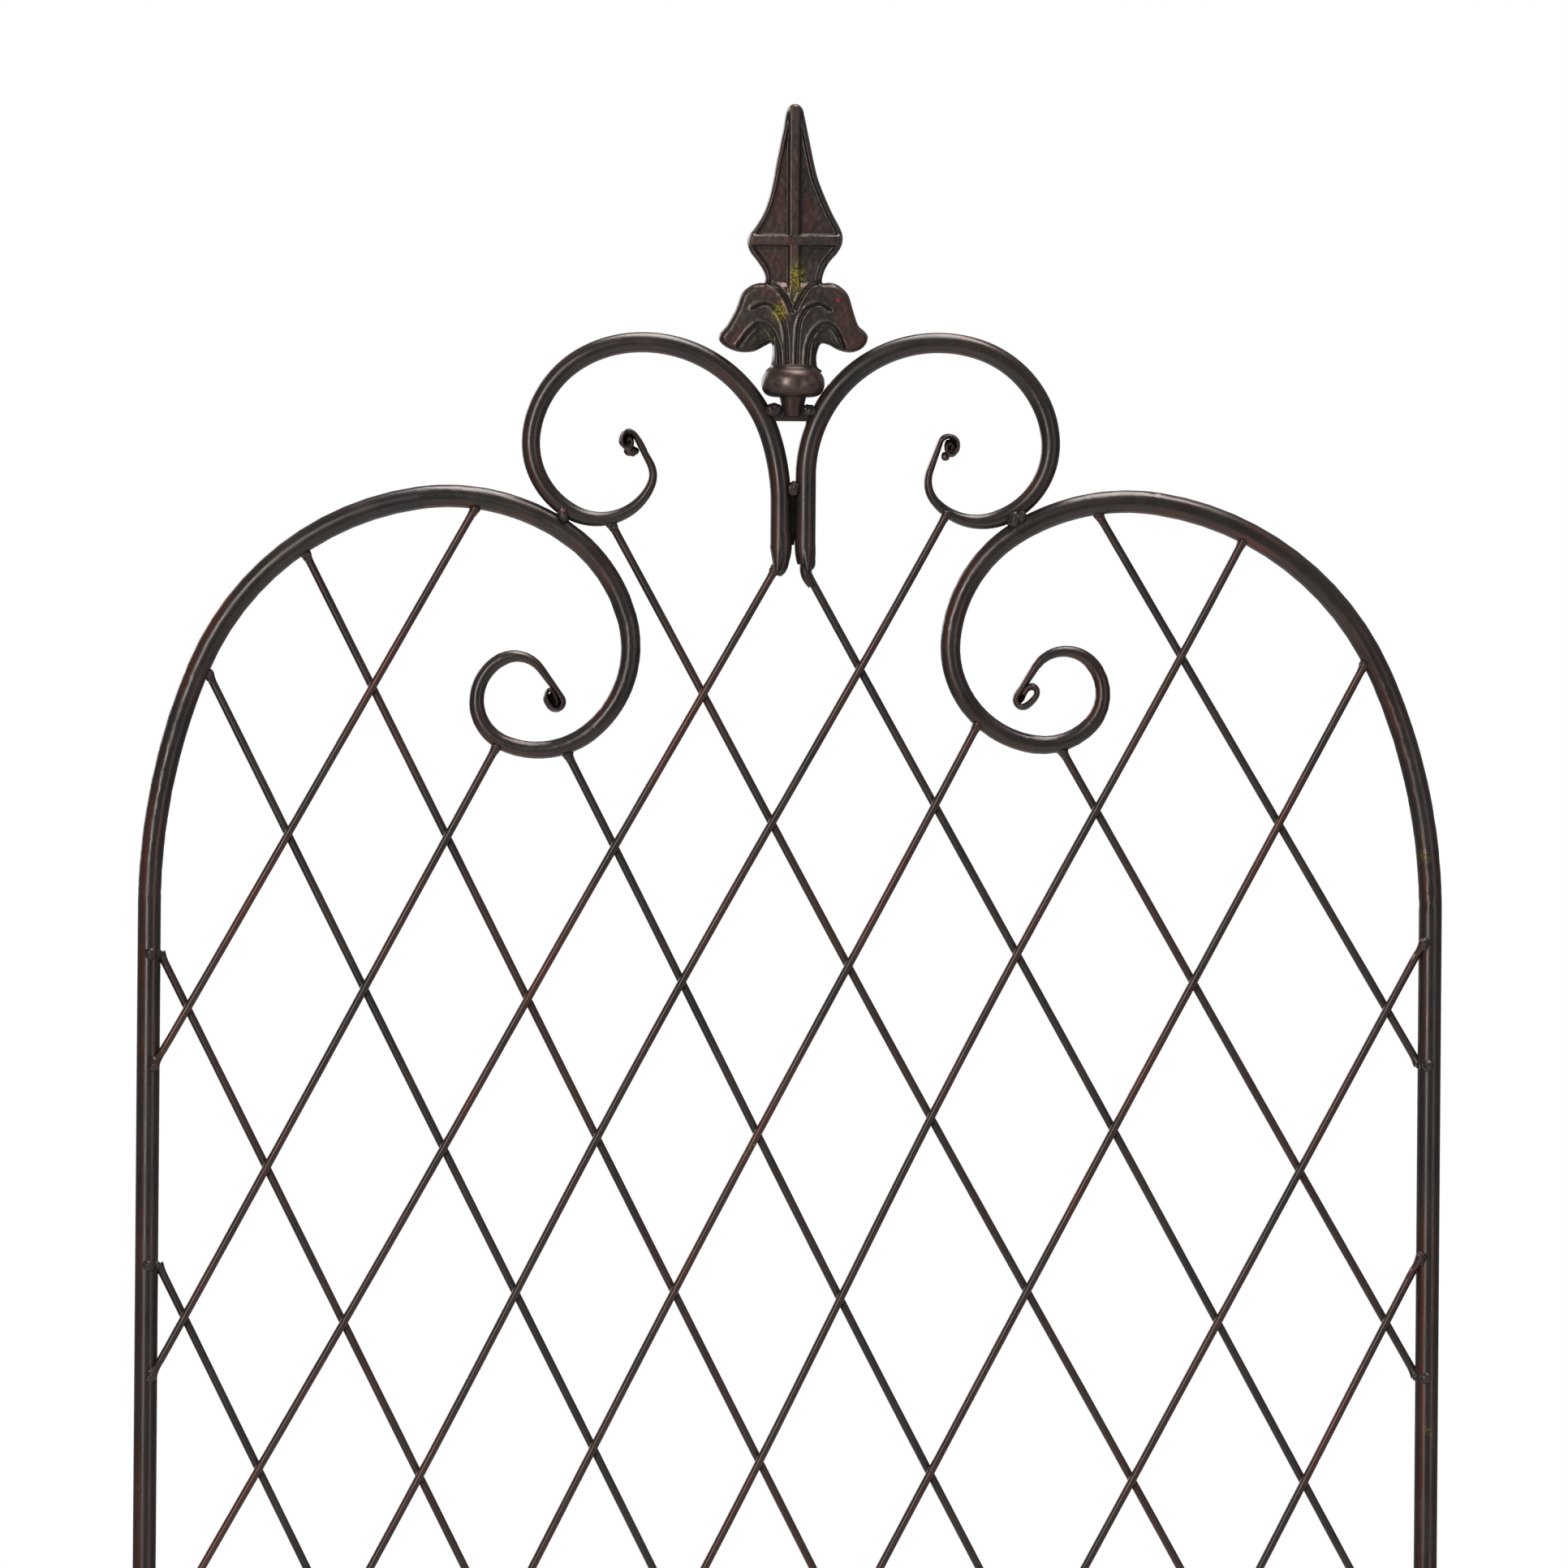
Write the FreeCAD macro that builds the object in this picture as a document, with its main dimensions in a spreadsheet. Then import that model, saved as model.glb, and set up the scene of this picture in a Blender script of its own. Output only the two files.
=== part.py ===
"""Garden trellis panel with an arched, scrolled top and a spear finial.

The panel stands in the XZ plane: X is its width, Z its height and -Y its front.
The origin is on the soil line, midway between the two posts.
Lengths are in millimetres and angles in degrees.
"""
import FreeCAD, Part
import os
from math import atan2, cos, degrees, hypot, pi, radians, sin, tan

Vector = FreeCAD.Vector
Placement = FreeCAD.Placement
Rotation = FreeCAD.Rotation

# ---------------------------------------------------------------------------
# Driving dimensions: alias, value, meaning
# ---------------------------------------------------------------------------
SIZES = [
    ("overall_width", 716.0, "outside of one post to outside of the other"),
    ("overall_height", 1750.0, "soil line to the tip of the finial"),
    ("tube_diameter", 12.7, "posts and arches"),
    ("tube_wall", 1.2, "wall of the posts and arches"),
    ("scroll_tube_diameter", 11.4, "stems of the upper scrolls"),
    ("scroll_tube_wall", 1.2, "wall of the upper scrolls"),
    ("scroll_weld_gap", 0.15, "joint gap between an upper scroll and its arch"),
    ("left_scroll_reach", 88.5, "centre line of the panel to the left side scroll's axis"),
    ("right_scroll_reach", 87.0, "centre line of the panel to the right side scroll's axis"),
    ("stem_gap", 2.2, "clear space between the two upper stems"),
    ("stem_weld_height", 44.0, "stems' lower ends up to their weld"),
    ("bar_height", 86.0, "stems' lower ends up to the finial bar's axis"),
    ("bar_depth", 5.0, "finial bar, front to back"),
    ("bar_thickness", 8.0, "finial bar, top to bottom"),
    ("finial_rise", 170.2, "finial bar's axis up to the tip"),
    ("blade_height", 96.0, "finial blade, tip to waist"),
    ("blade_width", 52.0, "finial blade across its shoulders"),
    ("blade_depth", 9.0, "finial blade, front to back"),
    ("waist_width", 32.0, "finial between blade and leaves"),
    ("ridge_width", 6.0, "raised cross on the blade"),
    ("ridge_depth", 13.0, "raised cross, front to back"),
    ("leaf_height", 40.0, "finial leaves, top to bottom"),
    ("leaf_span", 81.0, "finial leaves, tip to tip"),
    ("leaf_depth", 12.0, "finial leaves, front to back"),
    ("collar_diameter", 34.4, "round collar under the leaves"),
    ("collar_height", 14.2, "round collar, top to bottom"),
    ("neck_height", 10.0, "bar's axis up to the collar"),
    ("neck_top_diameter", 13.6, "finial neck below the collar"),
    ("neck_end_diameter", 10.4, "finial neck where it straddles the bar"),
    ("rod_diameter", 4.3, "lattice rods"),
    ("front_rod_gap", 1.7, "rising rod's end to the tube it is welded to"),
    ("back_rod_gap", 2.6, "falling rod's end to the tube it is welded to"),
    ("lattice_level", 163.0, "level below the springing where rods are set out"),
    ("first_rod_out", 38.5, "first rod's axis outside the post's, at that level"),
    ("corner_gap", 66.0, "last rod's foot to the post's axis, on the rail"),
    ("rail_height", 80.0, "soil line up to the bottom rail's axis"),
    ("rail_diameter", 9.5, "bottom rail"),
    ("spike_prong_diameter", 12.0, "ground spike below the post"),
    ("spike_prong_length", 190.0, "ground spike's straight part in the soil"),
    ("spike_point_length", 40.0, "ground spike's cone"),
    ("spike_point_diameter", 2.0, "blunt end of the cone"),
    ("spike_plug_length", 60.0, "ground spike inside the post"),
    ("spike_fit", 0.05, "radial clearance of the plug in the post"),
    ("bead_swell", 1.0, "weld bead proud of the rod it joins"),
]

# Bends of each tube from its lower end up: radius of the axis and turn. A
# radius of zero is a straight run whose second number is its length. A side
# frame's bends start at the springing, the top of its post, and its crown
# takes the radius that brings the scroll to its reach. An upper scroll's first
# two are its stem's toe, pinched shut and leaning outwards.
SIDE_BENDS = {
    "left": [(343, 22.5), (154, 59), (116, 41), (84, 41.5), (60, 66.5), (46, 62),
             (25.5, 129.5), (17, 81.5), (0, 19.5), (4.2, 175), (13.5, 17), (3.7, 60)],
    "right": [(320, 24.5), (160, 57), (115, 40.5), (77, 51.5), (54, 89), (35, 56),
              (25, 84), (19.5, 105.5), (0, 18.5), (4.1, 156), (17, 25), (3.1, 170)],
}
UPPER_BENDS = {
    "left": [(0, 13), (18, 6.5), (0, 22), (119, 18), (74, 78.5), (65, 23), (56, 50), (44, 70.5),
             (31, 97.5), (14, 51), (0, 16.5), (4.4, 170), (3.1, 110), (1.9, 100)],
    "right": [(0, 13), (18, 6.5), (0, 37), (74, 46.5), (72, 61.5), (58, 45.5), (53, 22.5), (43, 73),
              (32, 69), (17, 61.5), (0, 17), (4.8, 170), (3.3, 110), (2.0, 90)],
}
CROWN = 1
TOE_RUNS = 2
TOE_LEAN = 6.5

# In-plane width and front-to-back depth of a tube at the start of each bend
# and at its end, as shares of its own diameter: drawn down along the scroll,
# then beaten flat for the eye.
SIDE_TAPER = [(1, 1), (0.99, 0.99), (0.99, 0.99), (0.955, 0.955), (0.875, 0.875),
              (0.81, 0.81), (0.71, 0.71), (0.59, 0.62), (0.36, 0.62), (0.27, 0.64),
              (0.22, 0.64), (0.20, 0.64), (0.18, 0.62)]
UPPER_TAPER = [(0.36, 1.1), (1, 1), (1, 1), (1, 1), (1, 1), (0.98, 0.98), (0.96, 0.96), (0.91, 0.91),
               (0.82, 0.82), (0.44, 0.66), (0.36, 0.66), (0.28, 0.68), (0.21, 0.68),
               (0.19, 0.68), (0.17, 0.66)]
SIDE_BORED_RUNS = slice(0, 7)
UPPER_BORED_RUNS = slice(1, 8)

# Lattice rods from the upper corner down: place along the setting-out level,
# as a hand-laid departure from even spacing in pitches, and lean from upright.
RISING_RODS = [(0.0, 29.5), (0.0, 28.2), (-0.04, 29.3), (-0.145, 28.2), (-0.225, 27.3),
               (-0.245, 27.2), (-0.175, 27.7), (0.03, 28.0), (0.0, 26.9), (0.03, 27.2),
               (0.0, 27.5), (-0.04, 27.1), (0.02, 27.3), (0.0, 27.0)]
FALLING_RODS = [(-0.03, 30.6), (0.035, 29.9), (0.015, 29.0), (0.03, 29.0), (0.12, 27.4),
                (0.08, 27.0), (0.01, 26.8), (0.105, 26.8), (0.025, 26.6), (0.04, 27.0),
                (0.01, 27.3), (0.05, 26.9), (0.03, 27.2), (0.0, 27.0)]
ROD_COUNT = len(RISING_RODS)

HANDS = {"left": 1, "right": -1}
FRONT, BACK = -1, 1
# Proportions that follow a driving size: the shoulder's share of the finial's
# blade, how far the cross ridge reaches and how far the neck sinks into the bar,
# the collar's edge as shares of its radius and height, the stem's foot on it, and
# a bead's length, breadth and depth as shares of the tube it joins.
SHOULDER_SHARE = 0.77
CROSS_RIDGE_REACH = 0.94
NECK_SINK = 0.1
COLLAR_EDGE = [(0.85, 0.08), (1.0, 0.34), (1.0, 0.66), (0.85, 0.92), (0.55, 1.0)]
STEM_FOOT_SHARE = 0.72
SCROLL_BEAD = (0.36, 0.55, 0.46)
STEM_BEAD = 0.45

# Steps and stopping sizes of the searches for contacts and heights.
HEIGHT_STEPS = 60
UPPER_START = 400.0
CONTACT_STEPS = 24
TRACE_START = 30.0
TRACE_END = 0.005


def make_sheet(doc):
    """The spreadsheet of driving dimensions, one named cell in each row."""
    sheet = doc.addObject("Spreadsheet::Sheet", "sizes")
    for row, (alias, value, meaning) in enumerate(SIZES, start=1):
        sheet.set("A%d" % row, meaning)
        sheet.set("B%d" % row, str(value))
        sheet.setAlias("B%d" % row, alias)
    doc.recompute()
    return sheet


def size(name):
    """A driving dimension, read from its cell."""
    return float(SHEET.get(name))


# ---------------------------------------------------------------------------
# Tube axes: straight runs and tangent arcs in the XZ plane
# ---------------------------------------------------------------------------
class Run:
    """One straight run or arc of a tube's axis, with the tube's half width."""

    def __init__(self, x, z, heading, radius, turn, hand, half_start, half_end):
        self.x, self.z, self.heading = x, z, heading
        self.radius, self.hand = radius, hand
        self.half_start, self.half_end = half_start, half_end
        self.turn = turn if radius else 0.0
        self.length = radians(turn) * radius if radius else turn
        side = radians(heading) - hand * pi / 2
        self.centre = (x + radius * cos(side), z + radius * sin(side))

    def point(self, share):
        """Axis point and heading at a share of the run, as (x, z, heading)."""
        if not self.radius:
            way = radians(self.heading)
            step = self.length * share
            return self.x + step * cos(way), self.z + step * sin(way), self.heading
        turned = self.hand * self.turn * share
        heading = self.heading - turned
        side = radians(heading) + self.hand * pi / 2
        return (self.centre[0] + self.radius * cos(side),
                self.centre[1] + self.radius * sin(side), heading)

    def half(self, share):
        """The tube's half width at a share of the run."""
        share = min(max(share, 0.0), 1.0)
        return self.half_start + (self.half_end - self.half_start) * share

    def edge(self):
        """The run as an edge."""
        ends = [Vector(p[0], 0, p[1]) for p in (self.point(0), self.point(0.5), self.point(1))]
        if not self.radius:
            return Part.LineSegment(ends[0], ends[2]).toShape()
        return Part.Arc(*ends).toShape()

    def nearest(self, x, z):
        """Gap from a point to the tube's surface and the unit way towards it."""
        if not self.radius:
            way = radians(self.heading)
            along = (x - self.x) * cos(way) + (z - self.z) * sin(way)
            across = (z - self.z) * cos(way) - (x - self.x) * sin(way)
            half = self.half(along / self.length)
            over = along - min(max(along, 0.0), self.length)
            aside = across - min(max(across, -half), half)
            gap = hypot(over, aside)
            if gap == 0:
                return 0.0, (0.0, 0.0)
            return gap, (-(over * cos(way) - aside * sin(way)) / gap,
                         -(over * sin(way) + aside * cos(way)) / gap)
        off_x, off_z = x - self.centre[0], z - self.centre[1]
        reach = hypot(off_x, off_z)
        start_side = self.heading + self.hand * 90
        swept = (self.hand * (start_side - degrees(atan2(off_z, off_x)))) % 360
        if swept <= self.turn:
            inward = 1.0 if reach > self.radius else -1.0
            return (max(abs(reach - self.radius) - self.half(swept / self.turn), 0.0),
                    (-inward * off_x / reach, -inward * off_z / reach))
        share = 0.0 if 360 - swept < swept - self.turn else 1.0
        end_x, end_z, _ = self.point(share)
        far = hypot(x - end_x, z - end_z)
        return max(far - self.half(share), 0.0), ((end_x - x) / far, (end_z - z) / far)


def tube_axis(x, z, hand, bends, diameter, taper, lean=0.0):
    """The runs of a tube that starts at (x, z), upright or leaning; hand +1 bends to the right."""
    runs = []
    heading = 90.0 + hand * lean
    for (radius, turn), first, last in zip(bends, taper, taper[1:]):
        run = Run(x, z, heading, radius, turn, hand, first[0] * diameter / 2, last[0] * diameter / 2)
        runs.append(run)
        x, z, heading = run.point(1)
    return runs


def scroll_reach(runs, hand):
    """X of the axis where a side scroll comes nearest to the centre line."""
    for run in runs:
        end = run.heading - hand * run.turn
        down = -90.0 if hand > 0 else 270.0
        if run.radius and min(run.heading, end) <= down <= max(run.heading, end):
            return run.centre[0] + hand * run.radius
    raise ValueError("the scroll never turns downwards")


def side_axis(side, spring_z):
    """A side frame's bends, with the crown opened until the scroll is at its reach."""
    hand = HANDS[side]
    post_x = -hand * (size("overall_width") - size("tube_diameter")) / 2
    target = -hand * size(side + "_scroll_reach")

    def axis(crown_radius):
        bends = list(SIDE_BENDS[side])
        bends[CROWN] = (crown_radius, bends[CROWN][1])
        return tube_axis(post_x, spring_z, hand, bends, size("tube_diameter"), SIDE_TAPER)

    # The reach grows evenly with the crown radius, so two tries give the answer.
    low, high = 100.0, 200.0
    low_x, high_x = scroll_reach(axis(low), hand), scroll_reach(axis(high), hand)
    return axis(low + (high - low) * (target - low_x) / (high_x - low_x))


def upper_axis(side, stem_z):
    """An upper scroll's runs, from its stem's lower end."""
    hand = -HANDS[side]
    bends, diameter = UPPER_BENDS[side], size("scroll_tube_diameter")
    toe = tube_axis(0, 0, hand, bends[:TOE_RUNS], diameter, UPPER_TAPER, TOE_LEAN)
    stem_x = (size("stem_gap") + size("scroll_tube_diameter")) / 2
    toe_x = hand * stem_x - toe[-1].point(1)[0]
    return tube_axis(toe_x, stem_z, hand, bends, diameter, UPPER_TAPER, TOE_LEAN)


def nearest(runs, x, z):
    """Gap from a point to the nearest of several runs, and the way towards it."""
    return min((run.nearest(x, z) for run in runs), key=lambda found: found[0])


def closest_place(runs, others):
    """Smallest gap between a tube and some others: (gap, x, z, way)."""
    best = None
    for run in runs:
        for step in range(CONTACT_STEPS + 1):
            x, z, _ = run.point(step / CONTACT_STEPS)
            half = run.half(step / CONTACT_STEPS)
            gap, way = nearest(others, x, z)
            if best is None or gap - half < best[0]:
                best = (gap - half, x + way[0] * half, z + way[1] * half, way)
    return best


def seated_upper_axis(side, side_runs):
    """An upper scroll lowered until it stands its weld gap clear of its arch."""
    stem_z = UPPER_START
    while True:
        runs = upper_axis(side, stem_z)
        spare = closest_place(runs, side_runs)[0] - size("scroll_weld_gap")
        if spare < TRACE_END:
            return runs
        stem_z -= spare


def axis_at_height(runs, height):
    """X of the first place, in small steps, where a tube's axis climbs to a height."""
    for run in runs:
        for step in range(HEIGHT_STEPS):
            x, z, _ = run.point(step / HEIGHT_STEPS)
            if z >= height:
                return x
    raise ValueError("the tube never reaches that height")


# ---------------------------------------------------------------------------
# Pieces as document objects
# ---------------------------------------------------------------------------
def in_plane(x, z, heading, y=0.0):
    """Placement whose local Z points along a heading and whose local X is +Y."""
    way = Vector(cos(radians(heading)), 0, sin(radians(heading)))
    depth = Vector(0, 1, 0)
    across = way.cross(depth)
    return Placement(Vector(x, y, z), Rotation(depth, across, way, "ZXY"))


def add(kind, name, placement=None, **bindings):
    """A document object whose properties are bound to the sheet's cells."""
    thing = DOC.addObject(kind, name)
    for prop, formula in bindings.items():
        thing.setExpression(prop, formula)
    if placement is not None:
        thing.Placement = placement
    return thing


def fused(name, pieces):
    """Several touching solids as one."""
    joined = DOC.addObject("Part::MultiFuse", name)
    joined.Shapes = pieces
    joined.Refine = True
    return joined


def grouped(name, pieces):
    """Several separate solids as one object."""
    group = DOC.addObject("Part::Compound", name)
    group.Links = pieces
    return group


def cut(name, base, *tools):
    """A base with one tool after another taken away."""
    for number, tool in enumerate(tools, start=1):
        taken = DOC.addObject("Part::Cut", "%s_cut_%d" % (name, number))
        taken.Base = base
        taken.Tool = tool
        base = taken
    return base


def node(thing, label):
    """Keep an object as a sub-part under its own name."""
    thing.Label = label
    NODES.append(thing)
    return thing


def section(name, station, shares, diameter, inset):
    """A tube's outline across its axis, round or beaten to an oval."""
    width, depth = ("%s / 2 * %g - %s" % (diameter, share, inset) for share in shares)
    place = in_plane(*station)
    if shares[0] == shares[1]:
        return add("Part::Circle", name, place, Radius=width)
    return add("Part::Ellipse", name, place, MajorRadius=depth, MinorRadius=width)


def swept_tube(name, runs, taper, diameter, inset="0"):
    """A solid along runs of an axis, its outline changing evenly over each run."""
    pieces = []
    for number, (run, first, last) in enumerate(zip(runs, taper, taper[1:]), start=1):
        title = "%s_run_%d" % (name, number)
        axis = DOC.addObject("Part::Feature", title + "_axis")
        axis.Shape = run.edge()
        sweep = DOC.addObject("Part::Sweep", title)
        sweep.Sections = [section(title + "_start", run.point(0), first, diameter, inset),
                          section(title + "_end", run.point(1), last, diameter, inset)]
        sweep.Spine = (axis, ["Edge1"])
        sweep.Solid = True
        sweep.Frenet = True
        pieces.append(sweep)
    return fused(name, pieces)


def side_frame(side, runs):
    """Post, arch, side scroll and eye as one bent tube; returns its solid outline."""
    name = "side_frame_" + side
    foot = Placement(Vector(runs[0].x, 0, 0), Rotation())
    height = "%.6f" % runs[0].z
    post = add("Part::Cylinder", name + "_post", foot, Radius="sizes.tube_diameter / 2",
               Height=height)
    bent = swept_tube(name + "_bends", runs, SIDE_TAPER, "sizes.tube_diameter")
    outline = fused(name + "_outline", [post, bent])
    post_bore = add("Part::Cylinder", name + "_post_bore", foot, Height=height,
                    Radius="sizes.tube_diameter / 2 - sizes.tube_wall")
    bent_bore = swept_tube(name + "_bend_bores", runs[SIDE_BORED_RUNS],
                           SIDE_TAPER[SIDE_BORED_RUNS.start:], "sizes.tube_diameter",
                           "sizes.tube_wall")
    bore = fused(name + "_bore", [post_bore, bent_bore])
    node(cut(name, outline, bore), name)
    return outline


def upper_scroll(side, runs):
    """Stem, scroll and eye as one bent tube; returns its solid outline."""
    name = "upper_scroll_" + side
    outline = swept_tube(name + "_outline", runs, UPPER_TAPER, "sizes.scroll_tube_diameter")
    bore = swept_tube(name + "_bore", runs[UPPER_BORED_RUNS],
                      UPPER_TAPER[UPPER_BORED_RUNS.start:], "sizes.scroll_tube_diameter",
                      "sizes.scroll_tube_wall")
    node(cut(name, outline, bore), name)
    return outline


def bead(name, x, y, z, way, length, breadth, depth):
    """A weld bead: an ellipsoid whose length lies along a way in the XZ plane."""
    heading = degrees(atan2(way[1], way[0]))
    return add("Part::Ellipsoid", name, in_plane(x, z, heading, y), Radius1=length,
               Radius2=depth, Radius3=breadth)


def rod_line(number, table, spring_z):
    """Where a rising rod crosses the setting-out level, that level, and its lean.

    Falling rods are set out the same way, mirrored.
    """
    level = spring_z - size("lattice_level")
    post_x = (size("overall_width") - size("tube_diameter")) / 2
    first_x = -post_x - size("first_rod_out")
    last_lean = table[-1][1]
    last_x = post_x - size("corner_gap") + (level - size("rail_height")) * tan(radians(last_lean))
    pitch = (last_x - first_x) / (ROD_COUNT - 1)
    jog, lean = table[number]
    return first_x + pitch * (number + jog), level, lean


def rod_ends(number, table, mirror, frame_runs, gap, spring_z):
    """Both ends of a lattice rod's axis, from the post or rail to the first tube above."""
    level_x, level, lean = rod_line(number, table, spring_z)
    rise, run = cos(radians(lean)), sin(radians(lean))
    post_x = (size("overall_width") - size("tube_diameter")) / 2
    inner_x = -(post_x - size("tube_diameter") / 2 - gap)
    floor_z = size("rail_height") + size("rail_diameter") / 2 + gap
    start = max((inner_x - level_x) / run, (floor_z - level) / rise)
    along = start + TRACE_START
    while True:
        x = mirror * (level_x + along * run)
        z = level + along * rise
        spare = nearest(frame_runs, x, z)[0] - gap
        if spare < TRACE_END:
            return (mirror * (level_x + start * run), level + start * rise), (x, z)
        along += spare


def lattice(kind, table, mirror, side_of_plane, gap_cell, frame_runs, tubes, spring_z):
    """One family of lattice rods, each fused with the weld beads at its ends.

    The family lies on its own side of the panel's middle plane, beads included,
    so that the two families only touch where they cross.
    """
    gap = size(gap_cell)
    offset = side_of_plane * size("rod_diameter") / 2
    bead_offset = side_of_plane * (size("rod_diameter") + size("bead_swell")) / 2
    for number in range(ROD_COUNT):
        foot, head = rod_ends(number, table, mirror, frame_runs, gap, spring_z)
        heading = degrees(atan2(head[1] - foot[1], head[0] - foot[0]))
        name = "%s_rod_%02d" % (kind, number + 1)
        bar = add("Part::Cylinder", name + "_bar", in_plane(foot[0], foot[1], heading, offset),
                  Radius="sizes.rod_diameter / 2")
        bar.Height = hypot(head[0] - foot[0], head[1] - foot[1])
        pieces = [bar]
        for place, (x, z) in (("foot", foot), ("head", head)):
            way = nearest(frame_runs, x, z)[1]
            pieces.append(bead(
                "%s_%s_bead" % (name, place), x + way[0] * gap / 2, bead_offset,
                z + way[1] * gap / 2, way,
                "sizes.%s / 2 + sizes.rod_diameter / 2 + sizes.bead_swell / 2" % gap_cell,
                "sizes.rod_diameter / 2 + sizes.bead_swell",
                "(sizes.rod_diameter + sizes.bead_swell) / 2"))
        node(cut(name, fused(name + "_with_beads", pieces), tubes), name)


def spear_outline(tip_z):
    """Right half of the blade's edge, from the tip down to the waist."""
    tall, half = size("blade_height"), size("blade_width") / 2
    waist = size("waist_width") / 2
    shares = [(0.06, 0.0), (0.14, 0.015), (0.20, 0.05), (0.34, 0.25), (0.50, 0.43), (0.68, 0.54),
              (0.84, 0.64), (0.98, 0.74), (0.98, 0.80), (0.78, 0.88)]
    edge = [(half * across, tip_z - tall * down) for across, down in shares]
    return edge + [(waist, tip_z - tall)]


def leaf_outline(top_z):
    """Right half of the leaves' edge, from the waist down to the stem."""
    tall, half = size("leaf_height"), size("leaf_span") / 2
    shares = [(0.40, 0.0), (0.50, 0.05), (0.64, 0.08), (0.73, 0.20), (0.82, 0.45), (0.97, 0.70),
              (1.0, 0.80), (0.90, 0.98), (0.66, 1.0), (0.55, 0.88), (0.46, 0.88), (0.36, 1.05)]
    return [(half * across, top_z - tall * down) for across, down in shares]


def plane_of(body, role):
    """One of a body's own origin planes."""
    return next(item for item in body.Origin.OriginFeatures if item.Role == role)


def outline_sketch(body, name, points):
    """A closed sketch of straight edges on the body's XZ plane."""
    sketch = body.newObject("Sketcher::SketchObject", name)
    sketch.AttachmentSupport = (plane_of(body, "XZ_Plane"), [""])
    sketch.MapMode = "FlatFace"
    for (x0, z0), (x1, z1) in zip(points, points[1:] + points[:1]):
        sketch.addGeometry(Part.LineSegment(Vector(x0, z0, 0), Vector(x1, z1, 0)))
    return sketch


def mirrored(half_edge):
    """A closed outline from its right half."""
    return half_edge + [(-x, z) for x, z in reversed(half_edge)]


def pad(body, name, points, depth_cell):
    """A plate of an outline, its thickness even about the XZ plane."""
    sketch = outline_sketch(body, name + "_outline", points)
    plate = body.newObject("PartDesign::Pad", name)
    plate.Profile = sketch
    plate.SideType = "Symmetric"
    plate.setExpression("Length", depth_cell)
    return plate


def finial(tip_z, bar_z, bar):
    """The spear casting, its neck slotted over the bar."""
    body = DOC.addObject("PartDesign::Body", "finial_body")
    waist_z = tip_z - size("blade_height")
    ridge = size("ridge_width") / 2
    shoulder_z = tip_z - size("blade_height") * SHOULDER_SHARE
    reach = size("blade_width") / 2 * CROSS_RIDGE_REACH
    collar_z = bar_z + size("neck_height")
    collar = size("collar_diameter") / 2
    leaf_z = waist_z - size("leaf_height")
    pad(body, "leaves", mirrored(leaf_outline(waist_z)), "sizes.leaf_depth")
    pad(body, "blade", mirrored(spear_outline(tip_z)), "sizes.blade_depth")
    pad(body, "upright_ridge", mirrored([(ridge, tip_z - 2 * ridge), (ridge, leaf_z)]),
        "sizes.ridge_depth")
    pad(body, "cross_ridge", mirrored([(reach, shoulder_z + ridge), (reach, shoulder_z - ridge)]),
        "sizes.ridge_depth")
    neck_end = bar_z - size("bar_thickness") * NECK_SINK
    edge = [(collar * across, collar_z + size("collar_height") * up) for across, up in COLLAR_EDGE]
    turned = outline_sketch(body, "collar_outline", [
        (0, neck_end), (size("neck_end_diameter") / 2, neck_end),
        (size("neck_top_diameter") / 2, collar_z)] + edge + [
        (collar * STEM_FOOT_SHARE, leaf_z + ridge), (0, leaf_z + ridge)])
    revolved = body.newObject("PartDesign::Revolution", "collar")
    revolved.Profile = turned
    revolved.ReferenceAxis = (turned, ["V_Axis"])
    revolved.Angle = 360.0
    body.Tip = revolved
    node(cut("finial", body, bar), "finial")
    return body


def finial_bar(bar_z, upper_runs, outlines):
    """Flat bar between the upper scrolls, coped to both; returns it uncoped."""
    left_x, right_x = (axis_at_height(upper_runs[side], bar_z) for side in HANDS)
    corner = Vector(left_x, -size("bar_depth") / 2, bar_z - size("bar_thickness") / 2)
    bar = add("Part::Box", "finial_bar_full", Placement(corner, Rotation()),
              Width="sizes.bar_depth", Height="sizes.bar_thickness")
    bar.Length = right_x - left_x
    node(cut("finial_bar", bar, outlines), "finial_bar")
    return bar


def finial_bar_welds(bar_z, upper_runs, outlines, bar, casting):
    """A bead at each end of the finial bar."""
    beads = []
    for side, hand in HANDS.items():
        tube_x = axis_at_height(upper_runs[side], bar_z)
        x = tube_x + hand * size("scroll_tube_diameter") / 2
        beads.append(bead("bar_bead_" + side, x, 0, bar_z, (1, 0),
                          "sizes.bar_thickness / 2", "sizes.bar_thickness / 2 + sizes.bead_swell",
                          "sizes.bar_depth / 2 + 2 * sizes.bead_swell"))
    welds = grouped("bar_beads", beads)
    node(cut("finial_bar_welds", welds, outlines, bar, casting), "finial_bar_welds")


def scroll_welds(upper_runs, side_runs, outlines):
    """The bead that joins each upper scroll to its arch."""
    beads = []
    for side in HANDS:
        gap, x, z, way = closest_place(upper_runs[side], side_runs[side])
        beads.append(bead("scroll_bead_" + side, x + way[0] * gap / 2, 0, z + way[1] * gap / 2, way,
                          *("sizes.tube_diameter * %g" % share for share in SCROLL_BEAD)))
    node(cut("scroll_welds", grouped("scroll_beads", beads), outlines), "scroll_welds")


def stem_weld(stem_z, outlines):
    """The bead between the two upper stems."""
    blob = bead("stem_bead", 0, 0, stem_z + size("stem_weld_height"), (1, 0),
                "sizes.stem_gap / 2 + sizes.scroll_tube_diameter / 4",
                "sizes.scroll_tube_diameter * %g" % STEM_BEAD,
                "sizes.scroll_tube_diameter * %g" % STEM_BEAD)
    node(cut("stem_weld", blob, outlines), "stem_weld")


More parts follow.
